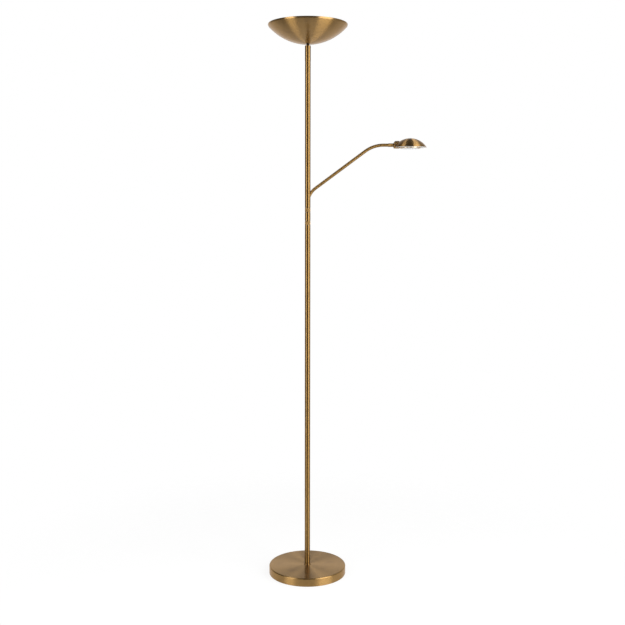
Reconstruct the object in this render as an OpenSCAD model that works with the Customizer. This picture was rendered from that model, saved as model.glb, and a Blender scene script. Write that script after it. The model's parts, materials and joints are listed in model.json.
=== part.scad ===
// Floor lamp with a bowl uplighter and a swivelling reading light on a bent arm.
// Millimetres. Origin: centre of the base's underside, on the pole's axis. +Z up, arm towards +X.

/* [Overall] */
// Height of the bowl's rim above the floor
total_h = 1800; // [1700:1:1900]
// Height of the arm's level run above the floor
arm_z = 1422.5; // [1405:0.5:1450]
// Distance from the pole's axis to the reading head's centre
head_x = 329; // [310:1:380]
// Height of the lower dimmer ring's seat on the pole
dimmer_z = 1166; // [1140:1:1180]
// Height of the screwed joint between the two lower pole tubes
seam_z = 598; // [400:1:900]

/* [Base] */
// Diameter of the base cover
base_d = 256; // [220:1:300]
// Height of the base cover's top above the floor
base_h = 28; // [26:0.5:34]
// Sheet thickness of the base cover
cover_wall = 1.2; // [0.8:0.1:2]
// Rounding of the base cover's upper edge
cover_edge_r = 4; // [2.5:0.5:6]
// Height of the cover's lower edge above the floor
cover_lift = 1; // [0.5:0.1:2]
// Thickness of the foam pad under the base
pad_t = 3; // [2:0.5:4]
// Gap between the pad's edge and the cover's wall
pad_inset = 3; // [2:0.5:10]
// Gap between the ballast's edge and the cover's wall
ballast_inset = 7; // [6:0.5:15]
// Thickness of the ballast disc between its ribs
ballast_t = 18; // [17:0.5:19]
// Width of the raised rib round the ballast
ballast_rib_w = 9; // [6:0.5:14]
// Diameter of the ballast's raised centre
ballast_boss_d = 50; // [44:1:60]
// Diameter of the recess for the clamp nut
nut_recess_d = 42; // [38:1:44]
// Length of the ballast's pocket for the driver
pocket_l = 100; // [98:1:110]
// Width of the ballast's pocket
pocket_w = 74; // [72:1:76]
// Distance from the pole's axis to the pocket
pocket_y = 30; // [28:1:32]
// Depth of the pocket in the ballast
pocket_h = 15.5; // [15:0.25:16]
// Width and depth of the lead channels in the ballast
channel_w = 9; // [7:0.5:12]

/* [Electrics in the base] */
// Length of the driver
driver_l = 92; // [80:1:94]
// Width of the driver
driver_w = 40; // [36:1:44]
// Height of the driver
driver_h = 14; // [10:0.5:14.5]
// Width of the terminal block
terminal_w = 18; // [12:1:19]
// Length of the terminal block
terminal_l = 30; // [20:1:40]
// Height of the terminal block
terminal_h = 12; // [9:0.5:14]
// Diameter of the cable opening in the grommet
inlet_bore_d = 6.4; // [5:0.2:7]
// Diameter of the hole for the grommet in the cover
inlet_hole_d = 9; // [8:0.2:10]
// Diameter of the grommet's flanges
inlet_flange_d = 12; // [11:0.5:14]
// Height of the grommet's axis above the floor
inlet_z = 11; // [9:0.5:14]
// Diameter of the inner leads
lead_d = 3; // [2:0.2:3.2]

/* [Pole] */
// Outer diameter of the pole
pole_d = 18; // [17:0.25:20]
// Wall thickness of the pole's tubes
pole_wall = 1; // [0.8:0.1:1.2]
// Broken edge at the ends of the tubes
tube_edge = 0.3; // [0.1:0.1:0.5]
// Diameter of the ring at the pole's foot
foot_ring_d = 21.5; // [20.5:0.5:30]
// Height of the ring at the pole's foot
foot_ring_h = 2.5; // [1.5:0.5:6]
// Length of the threaded plug in the pole's foot
foot_plug_h = 22; // [15:1:40]
// Diameter of the hollow threaded studs
stud_d = 10; // [9:0.5:10.5]
// Bore of the hollow threaded studs
stud_bore = 6.8; // [6:0.2:7.2]
// Length of each half of the pole's joint
joint_half = 30; // [20:1:60]
// Depth of thread in the pole's joint
joint_thread = 20; // [10:1:28]

/* [Dimmers and swivel] */
// Height of each dimmer ring
ring_h = 14; // [11:0.5:16]
// Height of the housing between the rings
housing_h = 27; // [20:0.5:34]
// Diameter of the core that the rings turn on
core_d = 14; // [13.6:0.1:14.2]
// Depth of the core inside the lower pole
core_shank = 40; // [30:1:60]
// Height of the resistance track in each ring
track_h = 4.5; // [3:0.5:6]
// Outer diameter of the resistance tracks
track_d = 15.6; // [15.2:0.1:15.8]
// Number of flutes round each ring
flutes = 36; // [24:1:48]
// Diameter of the cutter that makes a flute
flute_d = 1.2; // [0.8:0.1:1.4]
// Depth of a flute
flute_depth = 0.35; // [0.2:0.05:0.5]
// Plain band above and below the flutes
flute_margin = 2; // [1.5:0.25:4]
// Diameter of the swivel's spindle
spindle_d = 11; // [10.6:0.1:11.2]
// Bore of the swivel's spindle
spindle_bore = 6.4; // [5.5:0.1:6.6]
// Thickness of the sliding washer under the upper pole
thrust_t = 0.8; // [0.5:0.1:1.5]
// Height of the swivel's friction nut
friction_nut_h = 5; // [4:0.5:8]
// Swing of the upper pole to each side, in degrees
swivel_range = 160; // [90:1:160]

/* [Arm] */
// Outer diameter of the arm's tube
arm_d = 10; // [9.4:0.1:10.2]
// Wall thickness of the arm's tube
arm_wall = 1; // [0.8:0.1:1.1]
// Slope of the arm's straight run, in degrees
arm_rise = 36.5; // [34:0.5:39]
// Height of the arm's lower corner above the swivel
arm_corner_up = 44; // [42:0.5:46]
// Radius of the arm's lower bend
bend_low_r = 62; // [58:1:64]
// Radius of the arm's upper bend
bend_top_r = 100; // [60:1:130]
// Height of the arm's seat above the swivel
arm_seat_up = 5; // [4.5:0.25:6]
// Height of the saddle that holds the arm in the pole
saddle_h = 27; // [15:1:34]

/* [Reading head] */
// Diameter of the head's dome
head_d = 106; // [100:1:116]
// Height of the dome
head_h = 29; // [27:0.5:34]
// Wall thickness of the head's shell
head_wall = 1.2; // [1:0.1:1.5]
// Drop of the dome's rim below the arm's axis
rim_drop = 7; // [6:0.25:7.5]
// Diameter of the head's socket
socket_d = 24.4; // [23.6:0.2:25]
// Height of the socket's middle above the arm's line
socket_rise = 1.4; // [1:0.1:1.6]
// Radius that rounds the top of the socket's outer end, seen from the side
socket_brow_r = 9; // [5:0.5:10]
// Rounding of the socket's ends
socket_edge_r = 2.2; // [1:0.1:2.4]
// Diameter of the knuckle's sleeve
knuckle_d = 11.6; // [11.2:0.1:12]
// Length of the knuckle's sleeve
knuckle_l = 17; // [15:0.5:24]
// Distance of the tilt pin behind the socket's end
pin_in = 6; // [5.5:0.25:7]
// Diameter of the tilt pin
pin_d = 3; // [2.4:0.1:3.2]
// Thickness of the knuckle's tongue
tongue_t = 4; // [3:0.25:5]
// Radius of the knuckle's eye
eye_r = 4; // [3.4:0.1:4.2]
// Tilt of the head to each side, in degrees
tilt_range = 25; // [15:1:26]
// Turn of the head about the arm to each side, in degrees
roll_range = 150; // [90:1:150]
// Thickness of the white plate in the head
plate_t = 1.2; // [0.8:0.1:2]
// Diameter of the lens's clear opening
lens_d = 60; // [52:0.5:62]
// Drop of the lens's middle below the dome's rim
lens_drop = 5.6; // [4:0.2:9]
// Width of the ring round the lens
lens_ring_w = 4; // [3:0.25:4.5]
// Height of the ring round the lens
lens_ring_h = 3.2; // [2:0.1:5]
// Radius of the reading light's heat sink
head_sink_r = 42; // [38:0.5:42.5]
// Radius of the reading light's light-emitter board
head_board_r = 27; // [20:0.5:28]

/* [Uplighter] */
// Diameter of the bowl's rim
bowl_d = 253; // [230:1:280]
// Radius of the bowl's main curve
dish_r = 171; // [160:1:190]
// Radius of the bowl's curve at the rim
rim_r = 6.5; // [4:0.5:10]
// Height of the upright lip at the rim
lip_h = 2; // [1:0.5:5]
// Sheet thickness of the bowl
bowl_wall = 1.2; // [0.8:0.1:1.6]
// Length of the neck between the pole and the bowl
neck_h = 6; // [3:0.5:15]
// Diameter of the pole's top ferrule
ferrule_d = 18.6; // [18.4:0.1:22]
// Height of the pole's top ferrule
ferrule_h = 47; // [30:1:80]
// Height of the groove above the ferrule's lower edge
ferrule_groove_up = 12; // [4:0.5:25]
// Depth of the ferrule below its lower edge, inside the pole
ferrule_spigot = 20; // [12:1:40]
// Thickness of the opal plate
opal_t = 3; // [2:0.5:4]
// Drop of the opal plate's top below the rim
opal_drop = 20; // [14:0.5:24]
// Gap between the opal plate and the bowl
opal_gap = 2; // [1:0.5:5]
// Radius of the uplighter's heat sink
sink_r = 60; // [56:0.5:61]
// Thickness of the heat sink's disc
sink_t = 4; // [3:0.5:5]
// Height of the fins under the heat sink
sink_fin_h = 4; // [2:0.5:4.5]
// Number of fins under the heat sink
sink_fins = 12; // [8:1:20]
// Diameter of the posts that carry the opal plate
post_d = 8; // [6:0.5:9]
// Radius of the circle of posts
post_r = 53; // [51:0.5:54]
// Diameter of the opal plate's screws
opal_screw_d = 4; // [3:0.5:4.5]

/* [Fits] */
// Gap all round a pressed or threaded piece
fit = 0.05; // [0.02:0.01:0.08]
// Gap all round a running shaft
run = 0.1; // [0.05:0.01:0.1]
// Gap between faces that turn past each other
slip = 0.3; // [0.2:0.05:0.4]
// Gap between the arm and its slot in the pole
slot_gap = 0.15; // [0.1:0.05:0.3]

/* [Hidden] */

$fn = 96;
over = 1;              // how far a cutter runs past the face that it opens
lap = 0.2;             // how far a straight run reaches into a bend
swell = 0.015;         // share by which a bend is wider, so that the straight run ends inside it
brass = [0.69, 0.55, 0.36];
steel = [0.62, 0.63, 0.65];
alu = [0.78, 0.79, 0.8];
black = [0.1, 0.1, 0.1];
white = [0.93, 0.93, 0.91];

// Base
base_r = base_d / 2;
cover_in_r = base_r - cover_wall;
cover_in_z = base_h - cover_wall;
pad_r = cover_in_r - pad_inset;
ballast_r = cover_in_r - ballast_inset;
ballast_top = pad_t + ballast_t;
nut_af = 16;           // across the flats of the clamp nut
nut_h = 4.5;
washer_t = 1.5;
washer_d = 30;
washer_z = pad_t + pocket_h - washer_t;
stud_z0 = washer_z - nut_h - 1;
terminal_gap = 4;      // clear width between the driver and the terminal block
driver_y0 = pocket_y + 6;
terminal_y0 = driver_y0 + driver_w + terminal_gap;
lead_z = pad_t + lead_d / 2 + 0.5;
lead_bend_r = 6;       // bend of the lead from the base into the pole
grommet_lip = 1.5;
inlet_seat_y = sqrt(pow(cover_in_r, 2) - pow(inlet_flange_d / 2, 2)) - fit;

// Pole
pole_bore = pole_d - 2 * pole_wall;
plug_d = pole_bore - 2 * fit;
pole_z0 = base_h + foot_ring_h;
stud_top = pole_z0 + foot_plug_h - 4;
thread_bore = stud_d + 2 * fit;

// Dimmers and swivel
reading_ring_z = dimmer_z + slip;
housing_z = reading_ring_z + ring_h + slip;
uplight_ring_z = housing_z + housing_h + slip;
swivel_z = uplight_ring_z + ring_h + slip;
core_z0 = dimmer_z - core_shank;
core_top = swivel_z - slip - thrust_t;
core_bore = spindle_d + 2 * run;
ring_bore = core_d + 2 * run;
pocket_d = track_d + 2 * slip;     // counterbore in a ring for its track
track_gap = 0.6;                   // play of a track along its counterbore
ring_edge = 0.8;
stop_z = dimmer_z - core_shank / 2;
tip_d = 2;             // dog point of a stop screw
stop_screw_d = 3;
stop_play = 1.5;       // degrees that a stop leaves beyond the stated range
groove_w = tip_d + 2 * slip;
groove_depth = 1.2;
spindle_groove_r = spindle_d / 2 - groove_depth;
friction_z = core_z0 - slip - 1;
friction_d = pole_bore - 1.5;
spindle_z0 = friction_z - friction_nut_h - 1.5;

// Arm: a foot in the spindle, a lower bend, a straight run, an upper bend and a level run
arm_bore = arm_d - 2 * arm_wall;
arm_seat_z = swivel_z + arm_seat_up;
arm_corner_z = swivel_z + arm_corner_up;
arm_turn = 90 - arm_rise;
bend_low_z = arm_corner_z - bend_low_r * tan(arm_turn / 2);
run_x0 = bend_low_r * (1 - cos(arm_turn));
run_z0 = bend_low_z + bend_low_r * sin(arm_turn);
top_corner_x = (arm_z - arm_corner_z) / tan(arm_rise);
bend_top_x = top_corner_x + bend_top_r * tan(arm_rise / 2);
run_x1 = bend_top_x - bend_top_r * sin(arm_rise);
run_l = (run_x1 - run_x0) / cos(arm_rise);
flange_top = bend_low_z;

// Lead to the uplighter, beside the arm's foot and then on the axis
branch_d = 2;
branch_x = -(pole_bore / 2 - branch_d / 2 - 0.35);
branch_slot_w = branch_d + 0.6;
branch_z = swivel_z + over + branch_d / 2 + 0.5;
branch_bend_r = 3;
shift_turn = 40;       // degrees of each of the two bends that bring the lead to the axis
shift_run = 2;         // straight run between the two bends
shift_r = (-branch_x - shift_run * sin(shift_turn)) / (2 * (1 - cos(shift_turn)));

// Reading head
head_r = head_d / 2;
dome_r = (head_r * head_r + head_h * head_h) / (2 * head_h);
rim_z = arm_z - rim_drop;
dome_z = rim_z + head_h - dome_r;
dome_in_r = dome_r - head_wall;
rim_x = head_x - head_r;
socket_r = socket_d / 2;
socket_in_r = socket_r - head_wall;
pin_x = rim_x + pin_in;
sleeve_x1 = rim_x - 0.5;
sleeve_x0 = sleeve_x1 - knuckle_l;
arm_end_x = sleeve_x0 - slip;
spigot_d = arm_bore - 2 * fit;
spigot_in = 12;        // length of the spigot inside the arm
spigot_x1 = sleeve_x1 - 5.5;
sleeve_bore = spigot_d + 2 * run;
spigot_bore = lead_d + 0.6;
roll_groove_r = spigot_d / 2 - 1;
roll_stop_x = sleeve_x0 + 5.5;
slot_r = knuckle_d / 2 + slip;
slot_end = knuckle_d / 2 / cos(tilt_range) + pin_in * tan(tilt_range) + slip;
notch_half = sqrt(pow(socket_in_r, 2) - pow(rim_drop + socket_rise, 2));
boss_r = pin_d / 2 + 1.7;
boss_y = tongue_t / 2 + slip;
pin_reach = sqrt(pow(socket_in_r, 2) - pow(socket_rise + boss_r, 2));
brow_play = 0.1;       // lets the brow cross the socket's top and end instead of touching them
lens_r = lens_d / 2;
lens_ring_r = lens_r + lens_ring_w;
socket_x1 = head_x - lens_ring_r - 0.5;
lens_seat = 1;         // width of the ledge that the lens rests on
lens_neck = 1.2;       // wall of the lens ring above the plate
plate_hole_r = lens_r + lens_seat + lens_neck + fit;
plate_r = sqrt(pow(dome_in_r, 2) - pow(rim_z + plate_t - dome_z, 2)) - 0.25;
head_board_z = rim_z + plate_t + 1;
head_board_t = 1.6;
head_sink_z = head_board_z + head_board_t;
head_sink_t = 3;
head_sink_top = head_sink_z + head_sink_t;
head_fin_h = 9;
head_fin_r = 34;
head_fins = 16;
head_boss_d = 9;
sink_screw_d = 3;
plate_screw_d = 2.5;
plate_screw_r = head_sink_r - 3.5;
plate_screw_angles = [0, 120, 240];

// Uplighter
bowl_r = bowl_d / 2;
rim_arc_z = total_h - lip_h;
rim_arc_x = bowl_r - rim_r;
dish_z = rim_arc_z + sqrt(pow(dish_r - rim_r, 2) - pow(rim_arc_x, 2));
dish_low = dish_z - dish_r;
dish_in_r = dish_r - bowl_wall;
seat_r = 12;           // flat at the bowl's lowest point
seat_z = dish_z - sqrt(pow(dish_r, 2) - pow(seat_r, 2));
ferrule_top = seat_z - neck_h;
ferrule_z = ferrule_top - ferrule_h;
ferrule_thread = 18;
ferrule_bore = 13.4;
bowl_washer_t = 1.2;
bowl_washer_z = seat_z + bowl_wall;
bowl_nut_z = bowl_washer_z + bowl_washer_t;
bowl_nut_h = 4;
bowl_nut_af = 14;
sink_boss_z = bowl_nut_z + bowl_nut_h;
opal_top = total_h - opal_drop;
opal_z = opal_top - opal_t;
sink_z = sink_boss_z + 6.7;
sink_top = sink_z + sink_t;
opal_r = sqrt(pow(dish_in_r, 2) - pow(dish_z - opal_z, 2)) - opal_gap;
nipple_top = sink_top + bowl_nut_h + 2;
post_h = opal_z - sink_top;
opal_screw_in = post_h / 2;        // reach of an opal screw into its post
board_t = 1.6;
board_r = 46;
board_in_r = 15;
emitter = 3;
emitter_h = 0.8;
screw_head_h = 2.2;
post_angles = [90, 210, 330];

// A turned tube on the pole's axis between two heights, with its outer edges broken
module sleeve(outer_d, bore_d, z0, z1, edge = 0) {
  o = outer_d / 2;
  i = bore_d / 2;
  rotate_extrude()
    polygon(edge > 0
      ? [[i, z0], [o - edge, z0], [o, z0 + edge], [o, z1 - edge], [o - edge, z1], [i, z1]]
      : [[i, z0], [o, z0], [o, z1], [i, z1]]);
}

// A solid rod on the pole's axis between two heights
module rod(d, z0, z1) {
  translate([0, 0, z0]) cylinder(d = d, h = z1 - z0);
}

// A rod along X at the arm's height
module arm_rod(d, x0, x1) {
  translate([x0, 0, arm_z]) rotate([0, 90, 0]) cylinder(d = d, h = x1 - x0);
}

// A hexagon nut with its bore
module hex_nut(af, bore_d, z0, h) {
  difference() {
    translate([0, 0, z0]) cylinder(d = af / cos(30), h = h, $fn = 6);
    rod(bore_d, z0 - over, z0 + h + over);
  }
}

// A bend in the plane y = 0 about the point [x, z], from angle a0 through a turn
module bend(d, x, z, r, a0, turn) {
  translate([x, 0, z]) rotate([90, 0, 0]) rotate([0, 0, a0])
    rotate_extrude(angle = turn) translate([r, 0]) circle(d = d * (1 + swell));
}

// A straight run in the plane y = 0 from the point [x, z], leaning from +Z towards +X
module straight(d, x, z, lean, l) {
  translate([x, 0, z]) rotate([0, lean, 0]) translate([0, 0, -lap]) cylinder(d = d, h = l + 2 * lap);
}

// The arm's lower bend and straight run, as a rod of diameter d
module arm_lower(d) {
  bend(d, bend_low_r, bend_low_z, bend_low_r, 180 - arm_turn, arm_turn);
  straight(d, run_x0, run_z0, arm_turn, run_l);
}

// The arm's whole centre line from z0 on the axis to x1 on the level run
module arm_sweep(d, z0, x1) {
  rod(d, z0, bend_low_z + lap);
  arm_lower(d);
  bend(d, bend_top_x, arm_z - bend_top_r, bend_top_r, 90, arm_rise);
  arm_rod(d, bend_top_x - lap, x1);
}

// A grub screw with a dog point, along +X from the tip's end
module stop_screw(tip_l, l) {
  rotate([0, 90, 0]) {
    cylinder(d = tip_d, h = tip_l);
    translate([0, 0, tip_l]) cylinder(d = stop_screw_d, h = l - tip_l);
  }
}

// An open groove round a shaft on Z, with a land of half angle land towards -X
module stop_groove(floor_r, shaft_r, z, land) {
  rotate([0, 0, 180 + land]) rotate_extrude(angle = 360 - 2 * land)
    translate([floor_r, z - groove_w / 2]) square([shaft_r - floor_r + over, groove_w]);
}

module base_pad() {
  color(black) rod(2 * pad_r, 0, pad_t);
}

module ballast_disc() {
  color([0.25, 0.25, 0.26]) difference() {
    union() {
      rod(2 * ballast_r, pad_t, ballast_top);
      rod(ballast_boss_d, ballast_top, cover_in_z);
      sleeve(2 * ballast_r, 2 * (ballast_r - ballast_rib_w), ballast_top, cover_in_z);
    }
    rod(stud_d + 0.6, pad_t - over, cover_in_z + over);
    rod(nut_recess_d, pad_t - over, pad_t + pocket_h);
    translate([-pocket_l / 2, pocket_y, pad_t - over]) cube([pocket_l, pocket_w, pocket_h + over]);
    translate([-channel_w / 2, 0, pad_t - over]) cube([channel_w, pocket_y + over, channel_w + over]);
    translate([-channel_w / 2, pocket_y + pocket_w - over, pad_t - over])
      cube([channel_w, base_r, inlet_z + inlet_flange_d / 2 - pad_t + over]);
  }
}

module base_cover() {
  e = cover_edge_r;
  w = cover_wall;
  color(brass) difference() {
    rotate_extrude() difference() {
      union() {
        translate([0, cover_lift]) square([base_r, base_h - e - cover_lift]);
        translate([0, cover_lift]) square([base_r - e, base_h - cover_lift]);
        translate([base_r - e, base_h - e]) circle(r = e);
      }
      translate([0, cover_lift - over]) square([base_r - w, base_h - e - cover_lift + over]);
      translate([0, cover_lift - over]) square([base_r - e, base_h - w - cover_lift + over]);
      translate([base_r - e, base_h - e]) circle(r = e - w);
      translate([-base_r, 0]) square([base_r, 2 * base_h]);
    }
    rod(stud_d + 0.6, cover_in_z - over, base_h + over);
    translate([0, base_r - 3 * w, inlet_z]) rotate([-90, 0, 0]) cylinder(d = inlet_hole_d, h = 6 * w);
  }
}

// Flanged rubber bush at the back of the cover, its bore open for the supply cable
module cable_inlet_grommet() {
  neck_l = base_r + fit - inlet_seat_y;
  color(black) translate([0, inlet_seat_y, inlet_z]) rotate([-90, 0, 0]) difference() {
    union() {
      translate([0, 0, -grommet_lip]) cylinder(d = inlet_flange_d, h = grommet_lip);
      translate([0, 0, -grommet_lip]) cylinder(d = inlet_hole_d - 2 * fit, h = neck_l + 2 * grommet_lip);
      translate([0, 0, neck_l]) cylinder(d = inlet_flange_d, h = grommet_lip);
    }
    translate([0, 0, -grommet_lip - over])
      cylinder(d = inlet_bore_d, h = neck_l + 2 * (grommet_lip + over));
  }
}

module terminal_block() {
  screw_pitch = terminal_l / 3;
  color(white) difference() {
    translate([-terminal_l / 2, terminal_y0, pad_t]) cube([terminal_l, terminal_w, terminal_h]);
    for (i = [-1:1]) {
      translate([i * screw_pitch, terminal_y0 + terminal_w - over, pad_t + terminal_h / 2])
        rotate([-90, 0, 0]) cylinder(d = 3.5, h = 2 * over);
      translate([i * screw_pitch, terminal_y0 + terminal_w / 2, pad_t + terminal_h - 3])
        cylinder(d = 4, h = 3 + over);
    }
  }
}

module led_driver() {
  r = 3;
  color(white) difference() {
    union() {
      translate([-driver_l / 2 + r, driver_y0, pad_t]) cube([driver_l - 2 * r, driver_w, driver_h]);
      translate([-driver_l / 2, driver_y0 + r, pad_t]) cube([driver_l, driver_w - 2 * r, driver_h]);
      for (x = [-1, 1], y = [r, driver_w - r])
        translate([x * (driver_l / 2 - r), driver_y0 + y, pad_t]) cylinder(r = r, h = driver_h);
    }
    translate([-driver_l / 2 + 2 * r, driver_y0 + 2 * r, pad_t + driver_h - 0.6])
      cube([driver_l - 4 * r, driver_w - 4 * r, over]);
  }
}

module supply_lead() {
  color(black) translate([0, driver_y0 + driver_w, lead_z]) rotate([-90, 0, 0])
    cylinder(d = lead_d, h = terminal_gap);
}

// Lead from the driver along the channel, round a bend and up the pole to the spindle
module pole_lead() {
  r = lead_bend_r;
  color(black) rotate([0, 0, 90]) {
    straight(lead_d, r, lead_z, 90, driver_y0 - r - lap);
    bend(lead_d, r, lead_z + r, r, 180, 90);
    rod(lead_d, lead_z + r - lap, spindle_z0 - 2);
  }
}

module clamp_washer() {
  color(steel) sleeve(washer_d, thread_bore, washer_z, washer_z + washer_t, 0.2);
}

module clamp_nut() {
  color(steel) hex_nut(nut_af, thread_bore, washer_z - nut_h, nut_h);
}

module base_stud() {
  color(steel) sleeve(stud_d, stud_bore, stud_z0, stud_top, 0.5);
}

module pole_foot_ring() {
  color(brass) sleeve(foot_ring_d, thread_bore, base_h, pole_z0, 0.6);
}

module pole_foot_plug() {
  color(steel) sleeve(plug_d, thread_bore, pole_z0, pole_z0 + foot_plug_h, 0.4);
}

module lower_pole_tube() {
  color(brass) sleeve(pole_d, pole_bore, pole_z0, seam_z, tube_edge);
}

module pole_joint_socket() {
  color(steel) sleeve(plug_d, thread_bore, seam_z - joint_half, seam_z, 0.2);
}

module pole_joint_spigot() {
  color(steel) {
    sleeve(stud_d, stud_bore, seam_z - joint_thread, seam_z, 0.4);
    sleeve(plug_d, stud_bore, seam_z, seam_z + joint_half, 0.2);
  }
}

module middle_pole_tube() {
  color(brass) sleeve(pole_d, pole_bore, seam_z, dimmer_z, tube_edge);
}

module dimmer_core() {
  color(steel) difference() {
    union() {
      sleeve(plug_d, core_bore, core_z0, dimmer_z, 0.2);
      sleeve(core_d, core_bore, dimmer_z, core_top);
    }
    translate([0, 0, stop_z]) rotate([0, 90, 0]) cylinder(d = stop_screw_d + 2 * fit, h = pole_d);
  }
}

module dimmer_housing() {
  color(brass) sleeve(pole_d, core_d + 2 * fit, housing_z, housing_z + housing_h, tube_edge);
}

module dimmer_track(z0) {
  color(black) sleeve(track_d, core_d + 2 * fit, z0, z0 + track_h, 0.2);
}

module reading_dimmer_track() {
  dimmer_track(housing_z - slip - track_h);
}

module uplight_dimmer_track() {
  dimmer_track(housing_z + housing_h + slip);
}

// A fluted ring on the core, with a counterbore for its track at one end
module dimmer_ring(z0, bore_z) {
  color(brass) difference() {
    sleeve(pole_d, ring_bore, z0, z0 + ring_h, ring_edge);
    rod(pocket_d, bore_z, bore_z + track_h + track_gap + over);
    for (i = [0:flutes - 1])
      rotate([0, 0, i * 360 / flutes])
        translate([(pole_d + flute_d) / 2 - flute_depth, 0, z0 + flute_margin])
          cylinder(d = flute_d, h = ring_h - 2 * flute_margin, $fn = 24);
  }
}

module reading_dimmer_ring() {
  dimmer_ring(reading_ring_z, housing_z - slip - track_h - track_gap);
}

module uplight_dimmer_ring() {
  dimmer_ring(uplight_ring_z, uplight_ring_z - over);
}

module thrust_washer() {
  color(white) sleeve(core_d, core_bore, core_top, core_top + thrust_t);
}

// Dog-point screw in the core: it rides in the spindle's groove and ends its swing
module swivel_stop_screw() {
  tip_x = spindle_groove_r + slip;
  color(steel) translate([tip_x, 0, stop_z])
    stop_screw(core_bore / 2 + slip - tip_x, plug_d / 2 - slip - tip_x);
}

module swivel_spindle() {
  land = 180 - swivel_range - asin(tip_d / 2 / spindle_groove_r) - stop_play;
  color(steel) difference() {
    union() {
      rod(spindle_d, spindle_z0, swivel_z);
      rod(plug_d, swivel_z, flange_top);
    }
    rod(spindle_bore, spindle_z0 - over, arm_seat_z);
    rod(arm_d + 2 * fit, arm_seat_z, flange_top + over);
    stop_groove(spindle_groove_r, spindle_d / 2, stop_z, land);
    translate([-pole_d, -branch_slot_w / 2, swivel_z + over])
      cube([pole_d, branch_slot_w, arm_seat_up - over]);
    translate([-pole_d, -branch_slot_w / 2, swivel_z + over])
      cube([pole_d + branch_x + branch_slot_w / 2, branch_slot_w, flange_top - swivel_z]);
  }
}

module friction_washer() {
  color(black) sleeve(friction_d, spindle_d + 2 * fit, friction_z, friction_z + 1);
}

module friction_nut() {
  color(steel) difference() {
    sleeve(friction_d, spindle_d + 2 * fit, friction_z - friction_nut_h, friction_z, 0.3);
    for (a = [0:90:270])
      rotate([0, 0, a]) translate([spindle_d / 2 + over, -over, friction_z - friction_nut_h - over])
        cube([friction_d, 2 * over, 2 + over]);
  }
}

module upper_pole_tube() {
  color(brass) difference() {
    sleeve(pole_d, pole_bore, swivel_z, ferrule_z, tube_edge);
    arm_lower(arm_d + 2 * slot_gap);
  }
}

// Moulded plug that holds the arm in its slot and guides the uplighter's lead past it
module arm_saddle() {
  color(black) difference() {
    rod(plug_d, flange_top, flange_top + saddle_h);
    arm_lower(arm_d + 2 * slot_gap);
    translate([-pole_d, -branch_slot_w / 2, flange_top - over])
      cube([pole_d + branch_x + branch_slot_w / 2, branch_slot_w, saddle_h + 2 * over]);
  }
}

module reading_arm() {
  color(brass) difference() {
    arm_sweep(arm_d, arm_seat_z, arm_end_x);
    arm_sweep(arm_bore, arm_seat_z - over, arm_end_x + over);
  }
}

module arm_spigot() {
  land = 180 - roll_range - asin(tip_d / 2 / roll_groove_r) - stop_play;
  color(steel) difference() {
    arm_rod(spigot_d, arm_end_x - spigot_in, spigot_x1);
    arm_rod(spigot_bore, arm_end_x - spigot_in - over, spigot_x1 + over);
    translate([roll_stop_x, 0, arm_z]) rotate([0, 90, 0])
      stop_groove(roll_groove_r, spigot_d / 2, 0, land);
  }
}

module reading_lead() {
  color(black) arm_sweep(lead_d, spindle_z0 - 1, spigot_x1);
}

// Branch lead: out of the spindle's slot, up the saddle's channel, and to the axis under the neck
module uplight_lead() {
  b = branch_bend_r;
  s = shift_r;
  shift_z1 = ferrule_z - ferrule_spigot - 2;
  shift_z0 = shift_z1 - 2 * s * sin(shift_turn) - shift_run * cos(shift_turn);
  color(black) {
    straight(branch_d, branch_x + b, branch_z, 90, -branch_x - b - lead_d / 2 - lap - fit);
    bend(branch_d, branch_x + b, branch_z + b, b, 180, 90);
    straight(branch_d, branch_x, branch_z + b, 0, shift_z0 - branch_z - b);
    bend(branch_d, branch_x + s, shift_z0, s, 180 - shift_turn, shift_turn);
    straight(branch_d, branch_x + s * (1 - cos(shift_turn)), shift_z0 + s * sin(shift_turn),
             shift_turn, shift_run);
    bend(branch_d, -s, shift_z1, s, -shift_turn, shift_turn);
    rod(branch_d, shift_z1 - lap, nipple_top);
  }
}

module top_ferrule() {
  groove = 0.5;
  color(brass) difference() {
    union() {
      sleeve(ferrule_d, 0, ferrule_z, ferrule_top, tube_edge);
      rod(plug_d, ferrule_z - ferrule_spigot, ferrule_z + over);
    }
    rod(ferrule_bore, ferrule_z - ferrule_spigot - over, ferrule_top - ferrule_thread);
    rod(thread_bore, ferrule_top - ferrule_thread - over, ferrule_top + over);
    rotate_extrude() translate([ferrule_d / 2, ferrule_z + ferrule_groove_up])
      rotate([0, 0, 45]) square(groove * sqrt(2), center = true);
  }
}

module neck_nipple() {
  color(black) sleeve(stud_d, stud_bore, ferrule_top - ferrule_thread, nipple_top, 0.4);
}

// The part of a profile's plane right of x and below z
module below(x, z) {
  translate([x, z]) mirror([0, 1]) square(bowl_d);
}

// Spun bowl: a shallow dish arc that turns up through a small arc into an upright lip
module bowl_shade() {
  meet_z = rim_arc_z - (rim_r - bowl_wall / 2) * (dish_z - rim_arc_z) / (dish_r - rim_r);
  color(brass) difference() {
    union() {
      rotate_extrude() {
        intersection() {
          translate([0, dish_z]) difference() {
            circle(r = dish_r, $fn = 4 * $fn);
            circle(r = dish_in_r, $fn = 4 * $fn);
          }
          below(0, meet_z);
        }
        intersection() {
          translate([rim_arc_x, rim_arc_z]) difference() {
            circle(r = rim_r);
            circle(r = rim_r - bowl_wall);
          }
          translate([rim_arc_x, meet_z]) square(bowl_r);
          below(rim_arc_x, rim_arc_z);
        }
        translate([bowl_r - bowl_wall, rim_arc_z]) square([bowl_wall, lip_h]);
      }
      rod(2 * seat_r + 4, seat_z, seat_z + bowl_wall);
    }
    rod(2 * seat_r, dish_low - over, seat_z);
    rod(stud_d + 2 * fit, dish_low - over, seat_z + 2 * bowl_wall);
  }
}

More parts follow.
